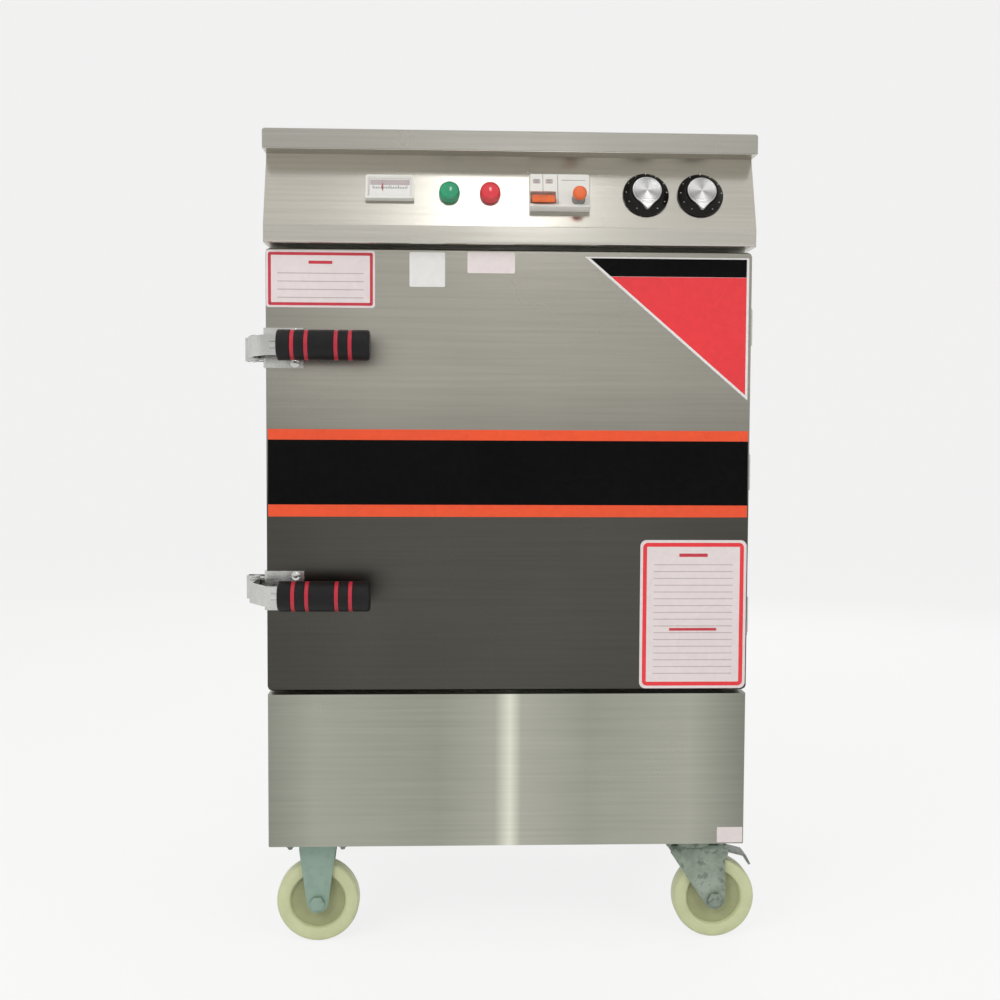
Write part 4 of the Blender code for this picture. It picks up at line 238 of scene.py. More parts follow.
class Finish:
    """A node material with a few short ways to build its patterns on object coordinates."""

    def __init__(self, name, roughness, metallic=0.0, **constants):
        self.material = bpy.data.materials.new(name)
        self.material.use_nodes = True
        self.tree = self.material.node_tree
        self.shader = self.tree.nodes["Principled BSDF"]
        self.shader.inputs["Roughness"].default_value = roughness
        self.shader.inputs["Metallic"].default_value = metallic
        for socket, value in constants.items():
            self.shader.inputs[socket.replace("_", " ")].default_value = value
        self.coordinates = self.tree.nodes.new("ShaderNodeTexCoord").outputs["Object"]

    def add(self, kind, **settings):
        made = self.tree.nodes.new("ShaderNode" + kind)
        for setting, value in settings.items():
            setattr(made, setting, value)
        return made

    def link(self, source, target):
        self.tree.links.new(source, target)

    def noise(self, scale, detail=3.0, roughness=0.5, distortion=0.0):
        """Noise on object coordinates stretched by three scales, in waves per metre."""
        mapping = self.add("Mapping")
        mapping.inputs["Scale"].default_value = scale
        self.link(self.coordinates, mapping.inputs["Vector"])
        noise = self.add("TexNoise")
        noise.inputs["Scale"].default_value = 1.0
        noise.inputs["Detail"].default_value = detail
        noise.inputs["Roughness"].default_value = roughness
        noise.inputs["Distortion"].default_value = distortion
        self.link(mapping.outputs["Vector"], noise.inputs["Vector"])
        return noise.outputs["Fac"]

    def between(self, factor, low, high, start=0.0, end=1.0):
        """A number that goes from start to end while the factor goes from low to high."""
        spread = self.add("MapRange")
        self.link(factor, spread.inputs["Value"])
        for socket, value in (("From Min", low), ("From Max", high), ("To Min", start), ("To Max", end)):
            spread.inputs[socket].default_value = value
        return spread.outputs["Result"]

    def tints(self, factor, stops):
        """A colour ramp through (place, colour) stops."""
        ramp = self.add("ValToRGB")
        elements = ramp.color_ramp.elements
        while len(elements) < len(stops):
            elements.new(0.5)
        for element, (place, colour) in zip(elements, stops):
            element.position = place
            element.color = (*colour, 1.0)
        self.link(factor, ramp.inputs["Fac"])
        return ramp.outputs["Color"]

    def mixed(self, factor, first, second, mode="MIX"):
        """Two colours, or a colour and a factor's output, mixed. Inputs 6 and 7 and output 2 hold colours."""
        mix = self.add("Mix", data_type="RGBA", blend_type=mode)
        sockets = (mix.inputs["Factor"], mix.inputs[6], mix.inputs[7])
        for socket, value in zip(sockets, (factor, first, second)):
            if isinstance(value, (int, float)):
                socket.default_value = value
            elif isinstance(value, tuple):
                socket.default_value = (*value, 1.0)
            else:
                self.link(value, socket)
        return mix.outputs[2]

    def along(self, axis):
        """The object coordinate along one axis."""
        split = self.add("SeparateXYZ")
        self.link(self.coordinates, split.inputs["Vector"])
        return split.outputs[axis]

    def colour(self, source):
        self.link(source, self.shader.inputs["Base Color"])

    def gloss(self, source):
        self.link(source, self.shader.inputs["Roughness"])

    def relief(self, source, strength, depth):
        bump = self.add("Bump")
        bump.inputs["Strength"].default_value = strength
        bump.inputs["Distance"].default_value = depth
        self.link(source, bump.inputs["Height"])
        if self.shader.inputs["Normal"].is_linked:
            self.link(self.shader.inputs["Normal"].links[0].from_socket, bump.inputs["Normal"])
        self.link(bump.outputs["Normal"], self.shader.inputs["Normal"])


def brushed_sheet(name, light, dark, grain=(4.0, 4.0, 210.0), roughness=(0.25, 0.34), up=None, across=None):
    """Satin sheet: hairlines along the low scales of the grain, soft clouds of tone, and hand smudges that
    change the gloss. Up and across are lists of (place, share) that multiply the colour along Z and along X:
    painted reflections and a painted highlight streak, not a tone of the steel."""
    made = Finish(name, 0.3, 1.0, Anisotropic=0.5)
    hairs = made.noise(grain, 3.0, 0.55)
    clouds = made.noise((3.1, 3.1, 2.3), 2.0, 0.5)
    tone = made.mixed(0.45, hairs, clouds)
    colour = made.tints(tone, [(0.3, dark), (0.7, light)])
    # Painted reflection and highlight: the colour is multiplied by the listed shares along Z and along X.
    for axis, painted_light_shares in (("Z", up), ("X", across)):
        if painted_light_shares:
            low, high = painted_light_shares[0][0], painted_light_shares[-1][0]
            factor = made.between(made.along(axis), low, high)
            stops = [((place - low) / (high - low), (share,) * 3) for place, share in painted_light_shares]
            colour = made.mixed(1.0, colour, made.tints(factor, stops), "MULTIPLY")
    made.colour(colour)
    smudges = made.noise((8.0, 8.0, 5.0), 2.0, 0.5)
    made.gloss(made.between(smudges, 0.25, 0.75, *roughness))
    made.relief(hairs, 0.05, 0.0002)
    tangent = made.add("Tangent", direction_type="RADIAL", axis="Z")
    made.link(tangent.outputs["Tangent"], made.shader.inputs["Tangent"])
    return made.material


def plated_steel(name, light, dark, rough=(0.38, 0.55), scale=38.0, wear=0.6):
    """Zinc plate: cloudy passivated patches, and darker worn specks in the share that wear gives."""
    made = Finish(name, 0.45, 0.35)
    clouds = made.noise((scale, scale, scale), 3.0, 0.55, 0.3)
    specks = made.noise((scale * 4, scale * 4, scale * 4), 2.0, 0.5)
    colour = made.tints(clouds, [(0.32, dark), (0.62, light)])
    worn = made.between(specks, 0.54, 0.68, 0.0, wear)
    made.colour(made.mixed(worn, colour, tuple(share * 0.35 for share in dark)))
    made.gloss(made.between(clouds, 0.3, 0.7, *rough))
    made.relief(specks, 0.15, 0.0004)
    return made.material


def bright_fitting(name, light, dark, rough=(0.20, 0.34)):
    """Polished pressed steel: faint polishing marks and a cloudy tone."""
    made = Finish(name, 0.25, 1.0)
    marks = made.noise((60.0, 60.0, 420.0), 3.0, 0.6)
    clouds = made.noise((25.0, 25.0, 25.0), 3.0, 0.5)
    made.colour(made.tints(clouds, [(0.3, dark), (0.7, light)]))
    made.gloss(made.between(marks, 0.3, 0.7, *rough))
    made.relief(marks, 0.06, 0.0002)
    return made.material


def moulded(name, light, dark, rough=(0.30, 0.42), grain=900.0, depth=0.00006, metallic=0.0, **constants):
    """Moulded plastic or rubber: a fine leathery grain, a little drift of colour and of gloss."""
    made = Finish(name, 0.4, metallic, **constants)
    skin = made.noise((grain, grain, grain), 2.0, 0.5)
    drift = made.noise((28.0, 28.0, 28.0), 3.0, 0.55)
    made.colour(made.tints(drift, [(0.3, dark), (0.7, light)]))
    made.gloss(made.between(drift, 0.3, 0.7, *rough))
    made.relief(skin, 0.25, depth)
    return made.material


def printed_film(name, colour, worn, rough=(0.22, 0.34), **constants):
    """Printed sticker film: near-even ink with faint mottling, and a slightly orange-peeled gloss."""
    made = Finish(name, 0.28, 0.0, **{"Coat_Weight": 0.1, "Coat_Roughness": 0.2, **constants})
    mottle = made.noise((120.0, 120.0, 120.0), 3.0, 0.6)
    drift = made.noise((6.0, 6.0, 6.0), 2.0, 0.5)
    made.colour(made.tints(made.mixed(0.5, mottle, drift), [(0.35, worn), (0.65, colour)]))
    made.gloss(made.between(drift, 0.3, 0.7, *rough))
    made.relief(mottle, 0.05, 0.0002)
    return made.material


def spun_metal(name, light, dark):
    """Spun aluminium: fine circles about the axis, and three soft rays of painted highlight in its colour, on
    a UV map of turn and radius.
    """
    made = Finish(name, 0.3, 1.0, Anisotropic=0.8)
    turn = made.add("UVMap", uv_map="turn").outputs["UV"]
    split = made.add("SeparateXYZ")
    made.link(turn, split.inputs["Vector"])
    painted_highlight_turns = made.add("Math", operation="MULTIPLY")
    painted_highlight_turns.inputs[1].default_value = 3 * 2 * math.pi
    made.link(split.outputs["X"], painted_highlight_turns.inputs[0])
    # Painted highlight: the colour is lightened in three soft rays round the axis, by the sine of three turns
    # of the angle.
    rays = made.add("Math", operation="SINE")
    made.link(painted_highlight_turns.outputs[0], rays.inputs[0])
    rings = made.add("TexNoise", noise_dimensions="1D")
    rings.inputs["Scale"].default_value = 900.0
    made.link(split.outputs["Y"], rings.inputs["W"])
    tone = made.mixed(0.25, made.between(rays.outputs[0], -1.0, 1.0), rings.outputs["Fac"])
    made.colour(made.tints(tone, [(0.12, dark), (0.80, light)]))
    made.gloss(made.between(rings.outputs["Fac"], 0.3, 0.7, 0.24, 0.34))
    tangent = made.add("Tangent", direction_type="UV_MAP", uv_map="turn")
    made.link(tangent.outputs["Tangent"], made.shader.inputs["Tangent"])
    return made.material


WARM = (0.49, 0.475, 0.425)
WARM_DARK = (0.40, 0.387, 0.345)
steel = brushed_sheet("satin_sheet", WARM, WARM_DARK)
lid_steel = brushed_sheet("satin_lid", WARM, WARM_DARK, grain=(4.0, 210.0, 210.0))
head_steel = brushed_sheet("satin_head", (0.58, 0.56, 0.505), (0.50, 0.48, 0.43), roughness=(0.19, 0.26))
# Painted reflection: the door's colour is multiplied far darker below about 0.7 m and a little darker towards
# both sides, the room's reflection put into the steel.
door_steel = brushed_sheet(
    "satin_door_painted_reflection",
    (0.57, 0.545, 0.475),
    (0.47, 0.455, 0.39),
    up=[(0.39, 0.17), (0.50, 0.19), (0.66, 0.20), (0.75, 0.62), (0.84, 0.84), (1.03, 0.80)],
    across=[(-0.35, 0.80), (-0.20, 0.96), (0.05, 1.0), (0.20, 0.94), (0.35, 0.84)],
)
# Painted highlight and reflection: a bright vertical streak at the middle of the base, and lighter and darker
# bands across it.
base_steel = brushed_sheet(
    "satin_base_painted_highlight",
    (0.50, 0.505, 0.43),
    (0.41, 0.42, 0.35),
    across=[
        (-0.35, 0.62),
        (-0.28, 0.86),
        (-0.10, 0.76),
        (-0.016, 0.95),
        # painted highlight streak
        (0.006, 1.75),
        (0.022, 1.0),
        (0.12, 0.78),
        (0.27, 0.90),
        (0.35, 0.55),
    ],
)
tray_steel = brushed_sheet("pressed_tray", (0.64, 0.64, 0.62), (0.56, 0.56, 0.54), (40.0, 40.0, 40.0))
liner_steel = brushed_sheet("satin_chamber", (0.60, 0.59, 0.55), (0.50, 0.49, 0.45))
fitting = bright_fitting("bright_fitting", (0.66, 0.66, 0.64), (0.50, 0.50, 0.48))
pan_steel = bright_fitting("folded_pan", (0.55, 0.56, 0.53), (0.42, 0.43, 0.41), (0.3, 0.42))
heater_steel = bright_fitting("heater_tube", (0.36, 0.31, 0.27), (0.20, 0.19, 0.20), (0.35, 0.5))
zinc = plated_steel("zinc_plate", (0.30, 0.42, 0.345), (0.25, 0.36, 0.29), (0.32, 0.44), 16.0, 0.12)
worn_zinc = plated_steel("worn_zinc_plate", (0.37, 0.43, 0.36), (0.20, 0.25, 0.20), scale=26.0, wear=0.6)
bolt_zinc = plated_steel("bolt_zinc", (0.30, 0.33, 0.30), (0.20, 0.225, 0.20), wear=0.4)
brass = bright_fitting("nickelled_brass", (0.62, 0.58, 0.48), (0.48, 0.44, 0.34))
nylon = moulded("cream_nylon", (0.66, 0.69, 0.42), (0.57, 0.60, 0.35), (0.30, 0.45), 260.0, 0.0003)
# Painted shade: a darker copy of the cream nylon for the sunk web and hub, standing for the shade in the
# recess.
painted_shade_nylon = moulded("painted_shade_nylon", (0.40, 0.42, 0.225), (0.33, 0.35, 0.18), (0.40, 0.55), 260.0, 0.0003)
rubber = moulded(
    "grip_rubber",
    (0.011, 0.011, 0.012),
    (0.006, 0.006, 0.007),
    (0.34, 0.46),
    700.0,
    0.00012,
    Specular_IOR_Level=0.22,
)
red_rubber = moulded("ring_rubber", (0.50, 0.022, 0.045), (0.38, 0.016, 0.034), (0.35, 0.45))
silicone = moulded("grey_silicone", (0.42, 0.42, 0.40), (0.36, 0.36, 0.34), (0.5, 0.65))
white_plastic = moulded("white_plastic", (0.80, 0.79, 0.75), (0.74, 0.73, 0.69))
grey_plastic = moulded("grey_plastic", (0.24, 0.24, 0.23), (0.18, 0.18, 0.175))
black_plastic = moulded(
    "black_plastic", (0.009, 0.008, 0.007), (0.005, 0.0045, 0.004), (0.25, 0.38), Specular_IOR_Level=0.18
)
orange_plastic = moulded("orange_plastic", (0.82, 0.17, 0.045), (0.72, 0.13, 0.035), (0.25, 0.36))
LENS_GLOSS, LENS_GRAIN, LENS_DEPTH = (0.08, 0.14), 300.0, 0.00005
green_lens = moulded(
    "green_lens", (0.0, 0.34, 0.15), (0.0, 0.25, 0.11), LENS_GLOSS, LENS_GRAIN, LENS_DEPTH, Coat_Weight=0.6
)
red_lens = moulded(
    "red_lens", (0.72, 0.02, 0.035), (0.55, 0.012, 0.02), LENS_GLOSS, LENS_GRAIN, LENS_DEPTH, Coat_Weight=0.6
)
red_sleeve = moulded("red_sleeve", (0.50, 0.03, 0.02), (0.40, 0.022, 0.016), (0.35, 0.48))
spun = spun_metal("spun_aluminium", (0.82, 0.82, 0.82), (0.40, 0.40, 0.40))
film_black = printed_film(
    "film_black", (0.0028, 0.003, 0.003), (0.005, 0.005, 0.005), Coat_Weight=0.0, Specular_IOR_Level=0.04
)
film_orange = printed_film("film_orange", (0.87, 0.085, 0.018), (0.78, 0.07, 0.015))
film_red = printed_film("film_red", (0.84, 0.035, 0.045), (0.74, 0.028, 0.036))
film_crimson = printed_film("film_crimson", (0.60, 0.035, 0.06), (0.50, 0.03, 0.05))
film_white = printed_film("film_white", (0.80, 0.79, 0.78), (0.74, 0.73, 0.72))
film_pink = printed_film("film_pink", (0.80, 0.72, 0.72), (0.74, 0.66, 0.66))
film_grey = printed_film("film_grey", (0.50, 0.42, 0.43), (0.44, 0.37, 0.38))

FINISHES = {
    "stainless": steel,
    "tray_stainless": tray_steel,
    "bright_steel": fitting,
    "heater_steel": heater_steel,
    "zinc": zinc,
    "nickelled_brass": brass,
    "cream_nylon": nylon,
    "grip_rubber": rubber,
    "silicone": silicone,
    "white_plastic": white_plastic,
    "black_plastic": black_plastic,
    "orange_plastic": orange_plastic,
    "green_lens": green_lens,
    "red_lens": red_lens,
    "red_sleeve": red_sleeve,
}
SPECIAL = {
    "door_skin": door_steel,
    "base_panel": base_steel,
    "top_lid": lid_steel,
    "chassis_pan": pan_steel,
    "inner_chamber": liner_steel,
    "door_liner": liner_steel,
    "control_panel": head_steel,
    "front_swivel_caster_brake_pedal": bolt_zinc,
    "rear_swivel_caster_brake_pedal": bolt_zinc,
    "front_swivel_caster_fork": worn_zinc,
    "rear_swivel_caster_fork": worn_zinc,
}


def finish_frame():
    """Every carried-over solid takes the finish of its slot, or its own where it has one."""
    for part in frame["record"]["subparts"]:
        name = part["node"]
        material = SPECIAL.get(name, FINISHES[part["material_slot"]])
        for slot in nodes[name].material_slots:
            slot.material = material


def fit_grips():
    """Black grips with four red rings each, over the lever's tang."""
    start, end = GRIP_START_X, GRIP_START_X + GRIP_LENGTH
    radius, sunk, half = GRIP_RADIUS, GRIP_RADIUS - 0.0012, 0.0035
    centres = [start + GRIP_LENGTH * share for share in (0.17, 0.32, 0.64, 0.79)]
    profile = [(0, start), (radius, start)]
    for centre in centres:
        profile += [(radius, centre - half), (sunk, centre - half + 0.0004)]
        profile += [(sunk, centre + half - 0.0004), (radius, centre + half)]
    profile += [(radius, end), (0, end)]
    reach = np.full(len(profile), 0.0003)
    reach[[1, -2]] = 0.0032, 0.0050
    body = eased(profile, reach, 7)
    ring = [(sunk - 0.0015, -half + 0.0006), (radius - 0.0004, -half + 0.0006)]
    ring += [(radius - 0.0004, half - 0.0006), (sunk - 0.0015, half - 0.0006)]
    ring = eased(ring, 0.0006, 3, closed=True)
    for place, z in LATCH_HEIGHTS.items():
        space = axes((0, GRIP_Y, z), (0, 1, 0), (0, 0, 1))
        grip = placed(turned(body), space)
        piece(f"{place}_grip_body", grip, rubber, f"{place}_latch", [f"{place}_latch_grip"])
        rings = [placed(turned(ring + np.array((0, c)), closed=True), space) for c in centres]
        piece(f"{place}_grip_rings", gathered(*rings), red_rubber, f"{place}_latch")


def fit_wheels():
    """Cream wheels: a crowned rim with sloping shoulders, a web sunk inside it in a darker copy of the nylon
    that paints the shade of the recess, and a raised hub.
    """
    rim = [(0.0400, 0.0095), (0.0425, 0.0148), (0.0520, 0.0160), (0.0590, 0.0150), (0.0617, 0.0105)]
    rim = rim + [(r, -h) for r, h in rim[::-1]]
    web = [(0.0063, 0.0180), (0.0132, 0.0180), (0.0142, 0.0085), (0.0290, 0.0080), (0.0405, 0.0092)]
    web = web + [(r, -h) for r, h in web[::-1]]
    rim_profile = eased(rim[::-1], 0.0022, 4, closed=True)
    web_profile = eased(web[::-1], 0.0010, 3, closed=True)
    for name in ("front_rigid", "rear_rigid", "front_swivel", "rear_swivel"):
        node = f"{name}_caster_wheel"
        low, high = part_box(node)
        centre = ((low.x + high.x) / 2, (low.y + high.y) / 2, AXLE_Z)
        space = axes(centre, (0, 0, 1), (1, 0, 0))
        for part, profile, finish in (("rim", rim_profile, nylon), ("web", web_profile, painted_shade_nylon)):
            shape = placed(turned(profile, 128, closed=True), space)
            stands_for = [node] if part == "rim" else ()
            piece(f"{name}_wheel_{part}", shape, finish, f"{name}_wheel", stands_for)


def turning_map(obj, space, name="turn"):
    """A UV map that runs round the frame's third direction: u is the angle over 2 pi, and v the radius in
    metres. At the centre, where no angle holds, a face takes the mean u of its other corners."""
    origin, directions = space
    mesh = obj.data
    layer = mesh.uv_layers.new(name=name)
    corner = np.zeros(len(mesh.loops), np.int32)
    mesh.loops.foreach_get("vertex_index", corner)
    points = np.zeros(len(mesh.vertices) * 3, np.float32)
    mesh.vertices.foreach_get("co", points)
    local = (points.reshape(-1, 3) - np.asarray(origin)) @ directions.T
    angle = np.arctan2(local[:, 1], local[:, 0]) / (2 * np.pi)
    radius = np.hypot(local[:, 0], local[:, 1])
    starts = np.zeros(len(mesh.polygons), np.int32)
    totals = np.zeros(len(mesh.polygons), np.int32)
    mesh.polygons.foreach_get("loop_start", starts)
    mesh.polygons.foreach_get("loop_total", totals)
    owner = np.repeat(np.arange(len(starts)), totals)
    u = angle[corner]
    centre = radius[corner] < 1e-6
    outer = starts + centre[starts]
    u = u + np.round(u[outer][owner] - u)
    around = np.bincount(owner, np.where(centre, 0, u)) / np.maximum(np.bincount(owner, ~centre), 1)
    u = np.where(centre, around[owner], u)
    uv = np.stack([u, radius[corner]], axis=-1).astype(np.float32)
    layer.data.foreach_set("uv", uv.ravel())


def about_across(angle):
    """The matrix of a turn about the first direction."""
    c, s = math.cos(angle), math.sin(angle)
    return np.array([[1, 0, 0], [0, c, -s], [0, s, c]])


def about_out(angle):
    """The matrix of a turn about the third direction."""
    c, s = math.cos(angle), math.sin(angle)
    return np.array([[c, -s, 0], [s, c, 0], [0, 0, 1]])


def fit_knobs():
    """Black dial skirts with white marks on the slope, and spun caps with a pointer."""
    skirt = [
        (0, 0.0008),
        (0.0330, 0.0008),
        (0.0330, 0.0040),
        (0.0242, 0.0132),
        (0.0222, 0.0135),
        (0.0216, 0.0125),
        (0, 0.0125),
    ]
    skirt = eased(skirt, 0.0007, 4)
    cap = [(0, 0.0126), (0.0211, 0.0126), (0.0211, 0.0158), (0.0203, 0.0170), (0.0182, 0.0170)]
    cap += [(0.0174, 0.0162), (0, 0.0165)]
    cap = eased(cap, 0.0005, 3)
    pointer = [(-0.0150, -0.0135), (-0.0014, -0.0282), (0.0014, -0.0282), (0.0150, -0.0135)]
    pointer = stacked(eased(pointer, 0.0010, 3, closed=True), [(0, 0.0110), (0, 0.0158), (0.0006, 0.0165)])
    slope = math.atan2(0.0132 - 0.0040, 0.0330 - 0.0242)
    middle = 0.0286
    lift = 0.0040 + (0.0330 - middle) * math.tan(slope)
    first_mark, mark_step, mark_count, long_every = -150, 30, 11, 5
    for name, x in KNOB_X.items():
        space = shifted(FACE, x, KNOB_UP)
        base = placed(turned(skirt, 128), space)
        piece(f"{name}_skirt", base, black_plastic, name, [name])
        head = placed(gathered(turned(cap, 128), pointer), space)
        turning_map(piece(f"{name}_cap", head, spun, name), space)
        marks = []
        for step in range(mark_count):
            angle = math.radians(first_mark + mark_step * step)
            long = 0.0050 if step % long_every == 0 else 0.0032
            points, faces = stacked(rectangle(0.0009, long, 0.0003, steps=2), [(0, -0.0003), (0, 0.00025)])
            points = points @ about_across(slope).T + np.array((0, middle, lift))
            marks.append((points @ about_out(angle).T, faces))
        piece(f"{name}_marks", placed(gathered(*marks), space), white_plastic, name)


def fit_lamps():
    """Pilot lamps: a wide lens with ribs round its wall and a low dome, a neck, and the body behind the
    face."""
    arc = np.linspace(0, np.pi / 2, 12)
    dome = np.stack([0.0131 * np.cos(arc), 0.0108 + 0.0032 * np.sin(arc)], axis=-1)
    profile = [(0, -0.030), (0.0135, -0.030), (0.0135, -0.0015), (0.0108, -0.0015), (0.0108, 0.0003)]
    profile += [(0.0150, 0.0003), (0.0150, 0.0030), (0.0143, 0.0036)]
    profile += [(0.0143, 0.0052), (0.0138, 0.0056), (0.0142, 0.0072), (0.0137, 0.0078), (0.0140, 0.0096)]
    profile = np.vstack([eased(profile, 0.0004, 3), dome])
    profile[-1, 0] = 0
    for name, finish, slot in (("green_lamp", green_lens, "green_lens"), ("red_lamp", red_lens, "red_lens")):
        shape = placed(turned(profile, 96), shifted(FACE, LAMP_X[name], ROW_UP))
        piece(f"{name}_lens", shape, finish, "cabinet", [name])


def fit_button():
    """A domed cap on its stem, and a grey collar round the sleeve it slides in."""
    seat = BREAKER_PROUD + SLEEVE_LENGTH + BUTTON_TRAVEL + SEAT_GAP
    top = seat + 0.0095
    profile = [(0, seat - 0.0155), (0.0049, seat - 0.0155), (0.0049, seat), (0.0100, seat)]
    profile += [(0.0100, seat + 0.0050), (0.0088, top - 0.0016), (0.0050, top - 0.0002), (0, top)]
    space = shifted(FACE, BREAKER_X + BUTTON_ACROSS, ROW_UP - BUTTON_DROP)
    shape = placed(turned(eased(profile, [0, 0, 0, 0.0006, 0.002, 0.002, 0.002, 0], 4), 72), space)
    piece("push_button_cap", shape, orange_plastic, "push_button", ["push_button"])
    collar = [(0.0079, 0.0121), (0.0096, 0.0121), (0.0096, 0.0140)]
    collar += [(0.0084, 0.0148), (0.0084, 0.0238), (0.0079, 0.0238)]
    shape = placed(turned(eased(collar, 0.0004, 2, closed=True), 72, closed=True), space)
    piece("push_button_collar", shape, grey_plastic, "cabinet")


def fit_toggle():
    """The two joined breaker levers: one paddle outline drawn across both poles, with an ear on each."""
    lean = math.radians(35)
    lift, out = FACE[1][1], FACE[1][2]
    up = math.cos(lean) * lift + math.sin(lean) * out
    beside = axes(TOGGLE_PIVOT, up, math.cos(lean) * out - math.sin(lean) * lift)
    paddle = [(-0.006, 0), (-0.0042, -0.0042), (0, -0.006), (0.0042, -0.0042), (0.006, 0), (0.0036, 0.009)]
    paddle += [(0.0031, 0.0178), (-0.0034, 0.0178), (-0.0043, 0.008)]
    paddle = eased(paddle, [0.002] * 6 + [0.0018, 0.0018, 0.002], 4, closed=True)
    width = 0.0165
    bar = stacked(paddle, [(0.0006, -width), (0, -width + 0.0006), (0, width - 0.0006), (0.0006, width)])
    above = axes(TOGGLE_PIVOT, beside[1][1], (1, 0, 0))
    ears = []
    for place in (-0.009, 0.009):
        outline = rectangle(0.0066, 0.0088, 0.0018, (0.0134, place))
        ears.append(placed(stacked(outline, [(0, 0.0010), (0, 0.0048), (0.0009, 0.0057)]), above))
    shape, name = gathered(placed(bar, beside), *ears), "breaker_toggle"
    piece("breaker_toggle_body", shape, orange_plastic, name, [name])


def thin_plate(outline, low, high, soft=0.0001):
    """A thin plate with softened front edges."""
    return stacked(outline, [(0, low), (0, high - soft), (soft, high)])


def ring_plate(width, height, radius, band, low, high, centre=(0, 0)):
    """A flat frame: an outer rounded rectangle, and an inner one drawn in by the width of the band."""
    outline = rectangle(width, height, radius, centre)
    return stacked(outline, [(0, low), (0, high), (band, high), (band, low)], closed=True)


def ruled_lines(width, pitch, count, top, centre_x, left_margin, thickness=0.0008):
    """Plain rules of one length, pitch apart."""
    rules = []
    for row in range(count):
        centre = (centre_x, top - pitch * row)
        outline = rectangle(width - 2 * left_margin, thickness, thickness / 3, centre, 2)
        rules.append(stacked(outline, [(0, 0.00020), (0, 0.00032)]))
    return gathered(*rules)


def card(x0, x1, z0, z1):
    """The middle and the sizes of a card between two places across and two heights."""
    return (x0 + x1) / 2, (z0 + z1) / 2, x1 - x0, z1 - z0


def fit_labels():
    """Films on the door and the base: bordered cards with plain rules and headings, bare cards, the dark
    band with its two orange edges, and the corner piece in two colours on white. A film stands a quarter
    of a millimetre proud, and what is printed on it lies a tenth higher."""
    film, ink = 0.00025, 0.0001

    def put(name, shape, finish, body="door"):
        piece(name, placed(shape, FRONT), finish, body)

    x, z, w, h = card(-0.3493, -0.1942, 0.9440, 1.0253)
    put("upper_card", thin_plate(rectangle(w, h, 0.004, (x, z)), 0, film), film_pink)
    border = ring_plate(w - 0.006, h - 0.006, 0.003, 0.0042, ink, film + ink, (x, z))
    put("upper_card_border", border, film_crimson)
    put("upper_card_rules", ruled_lines(w, 0.0115, 4, z + 0.008, x, 0.016, 0.0012), film_grey)
    heading = thin_plate(rectangle(0.034, 0.0045, 0.0010, (x, z + 0.0235), 2), ink, film + ink)
    put("upper_card_heading", heading, film_crimson)
    x, z, w, h = card(-0.1449, -0.0941, 0.9748, 1.0240)
    put("small_card", thin_plate(rectangle(w, h, 0.002, (x, z)), 0, film), film_white)
    x, z, w, h = card(-0.0620, 0.0063, 0.9950, 1.0249)
    put("slim_card", thin_plate(rectangle(w, h, 0.002, (x, z)), 0, film), film_pink)
    x, z, w, h = card(0.1917, 0.3480, 0.3927, 0.6111)
    put("lower_card", thin_plate(rectangle(w, h, 0.009, (x, z)), 0, film), film_pink)
    border = ring_plate(w - 0.008, h - 0.008, 0.007, 0.0058, ink, film + ink, (x, z))
    put("lower_card_border", border, film_red)
    put("lower_card_rules", ruled_lines(w, 0.0100, 17, z + 0.073, x, 0.020, 0.0011), film_grey)
    headings = [
        thin_plate(rectangle(0.042, 0.0050, 0.0010, (x, z + 0.087), 2), ink, film + ink),
        thin_plate(rectangle(0.070, 0.0040, 0.0010, (x, z - 0.022), 2), ink, film + 0.00013),
    ]
    put("lower_card_headings", gathered(*headings), film_crimson)
    x, z, w, h = card(0.3100, 0.3478, 0.1620, 0.1850)
    put("base_card", thin_plate(rectangle(w, h, 0.001, (x, z)), 0, film), film_pink, "cabinet")

    wide = 0.6955
    for name, low, high, finish in (
        ("band_upper_edge", 0.7548, 0.7704, film_orange),
        ("band_dark", 0.6618, 0.7552, film_black),
        ("band_lower_edge", 0.6444, 0.6622, film_orange),
    ):
        proud = film if finish is film_orange else film + ink
        outline = rectangle(wide, high - low, 0.0008, (0, (high + low) / 2), 2)
        put(name, thin_plate(outline, 0, proud), finish)

    left, right, top, low = 0.1068, 0.3457, 1.0200, 0.8149
    corner = eased([(right, low), (right, top), (left, top)], 0.0015, 3, closed=True)
    put("corner_piece", thin_plate(corner, 0, film), film_white)
    rise = (top - low) / (right - left)
    inset, bar = 0.0035, 0.9918
    reach = inset * math.hypot(1, rise)
    red_right = right - inset

    def slanted_x(height):
        """Where the slanted side of the printed part lies at a height."""
        return left + (top - height) / rise + reach / rise

    red = [(slanted_x(bar), bar), (red_right, low + (reach + rise * inset)), (red_right, bar)]
    put("corner_piece_red", thin_plate(np.array(red), ink, film + ink, ink / 2), film_red)
    dark_low, dark_top = bar + 0.0003, top - 0.0022
    dark = [(slanted_x(dark_low), dark_low), (red_right, dark_low)]
    dark += [(red_right, dark_top), (slanted_x(dark_top), dark_top)]
    put("corner_piece_dark", thin_plate(np.array(dark), ink, film + ink, ink / 2), film_black)


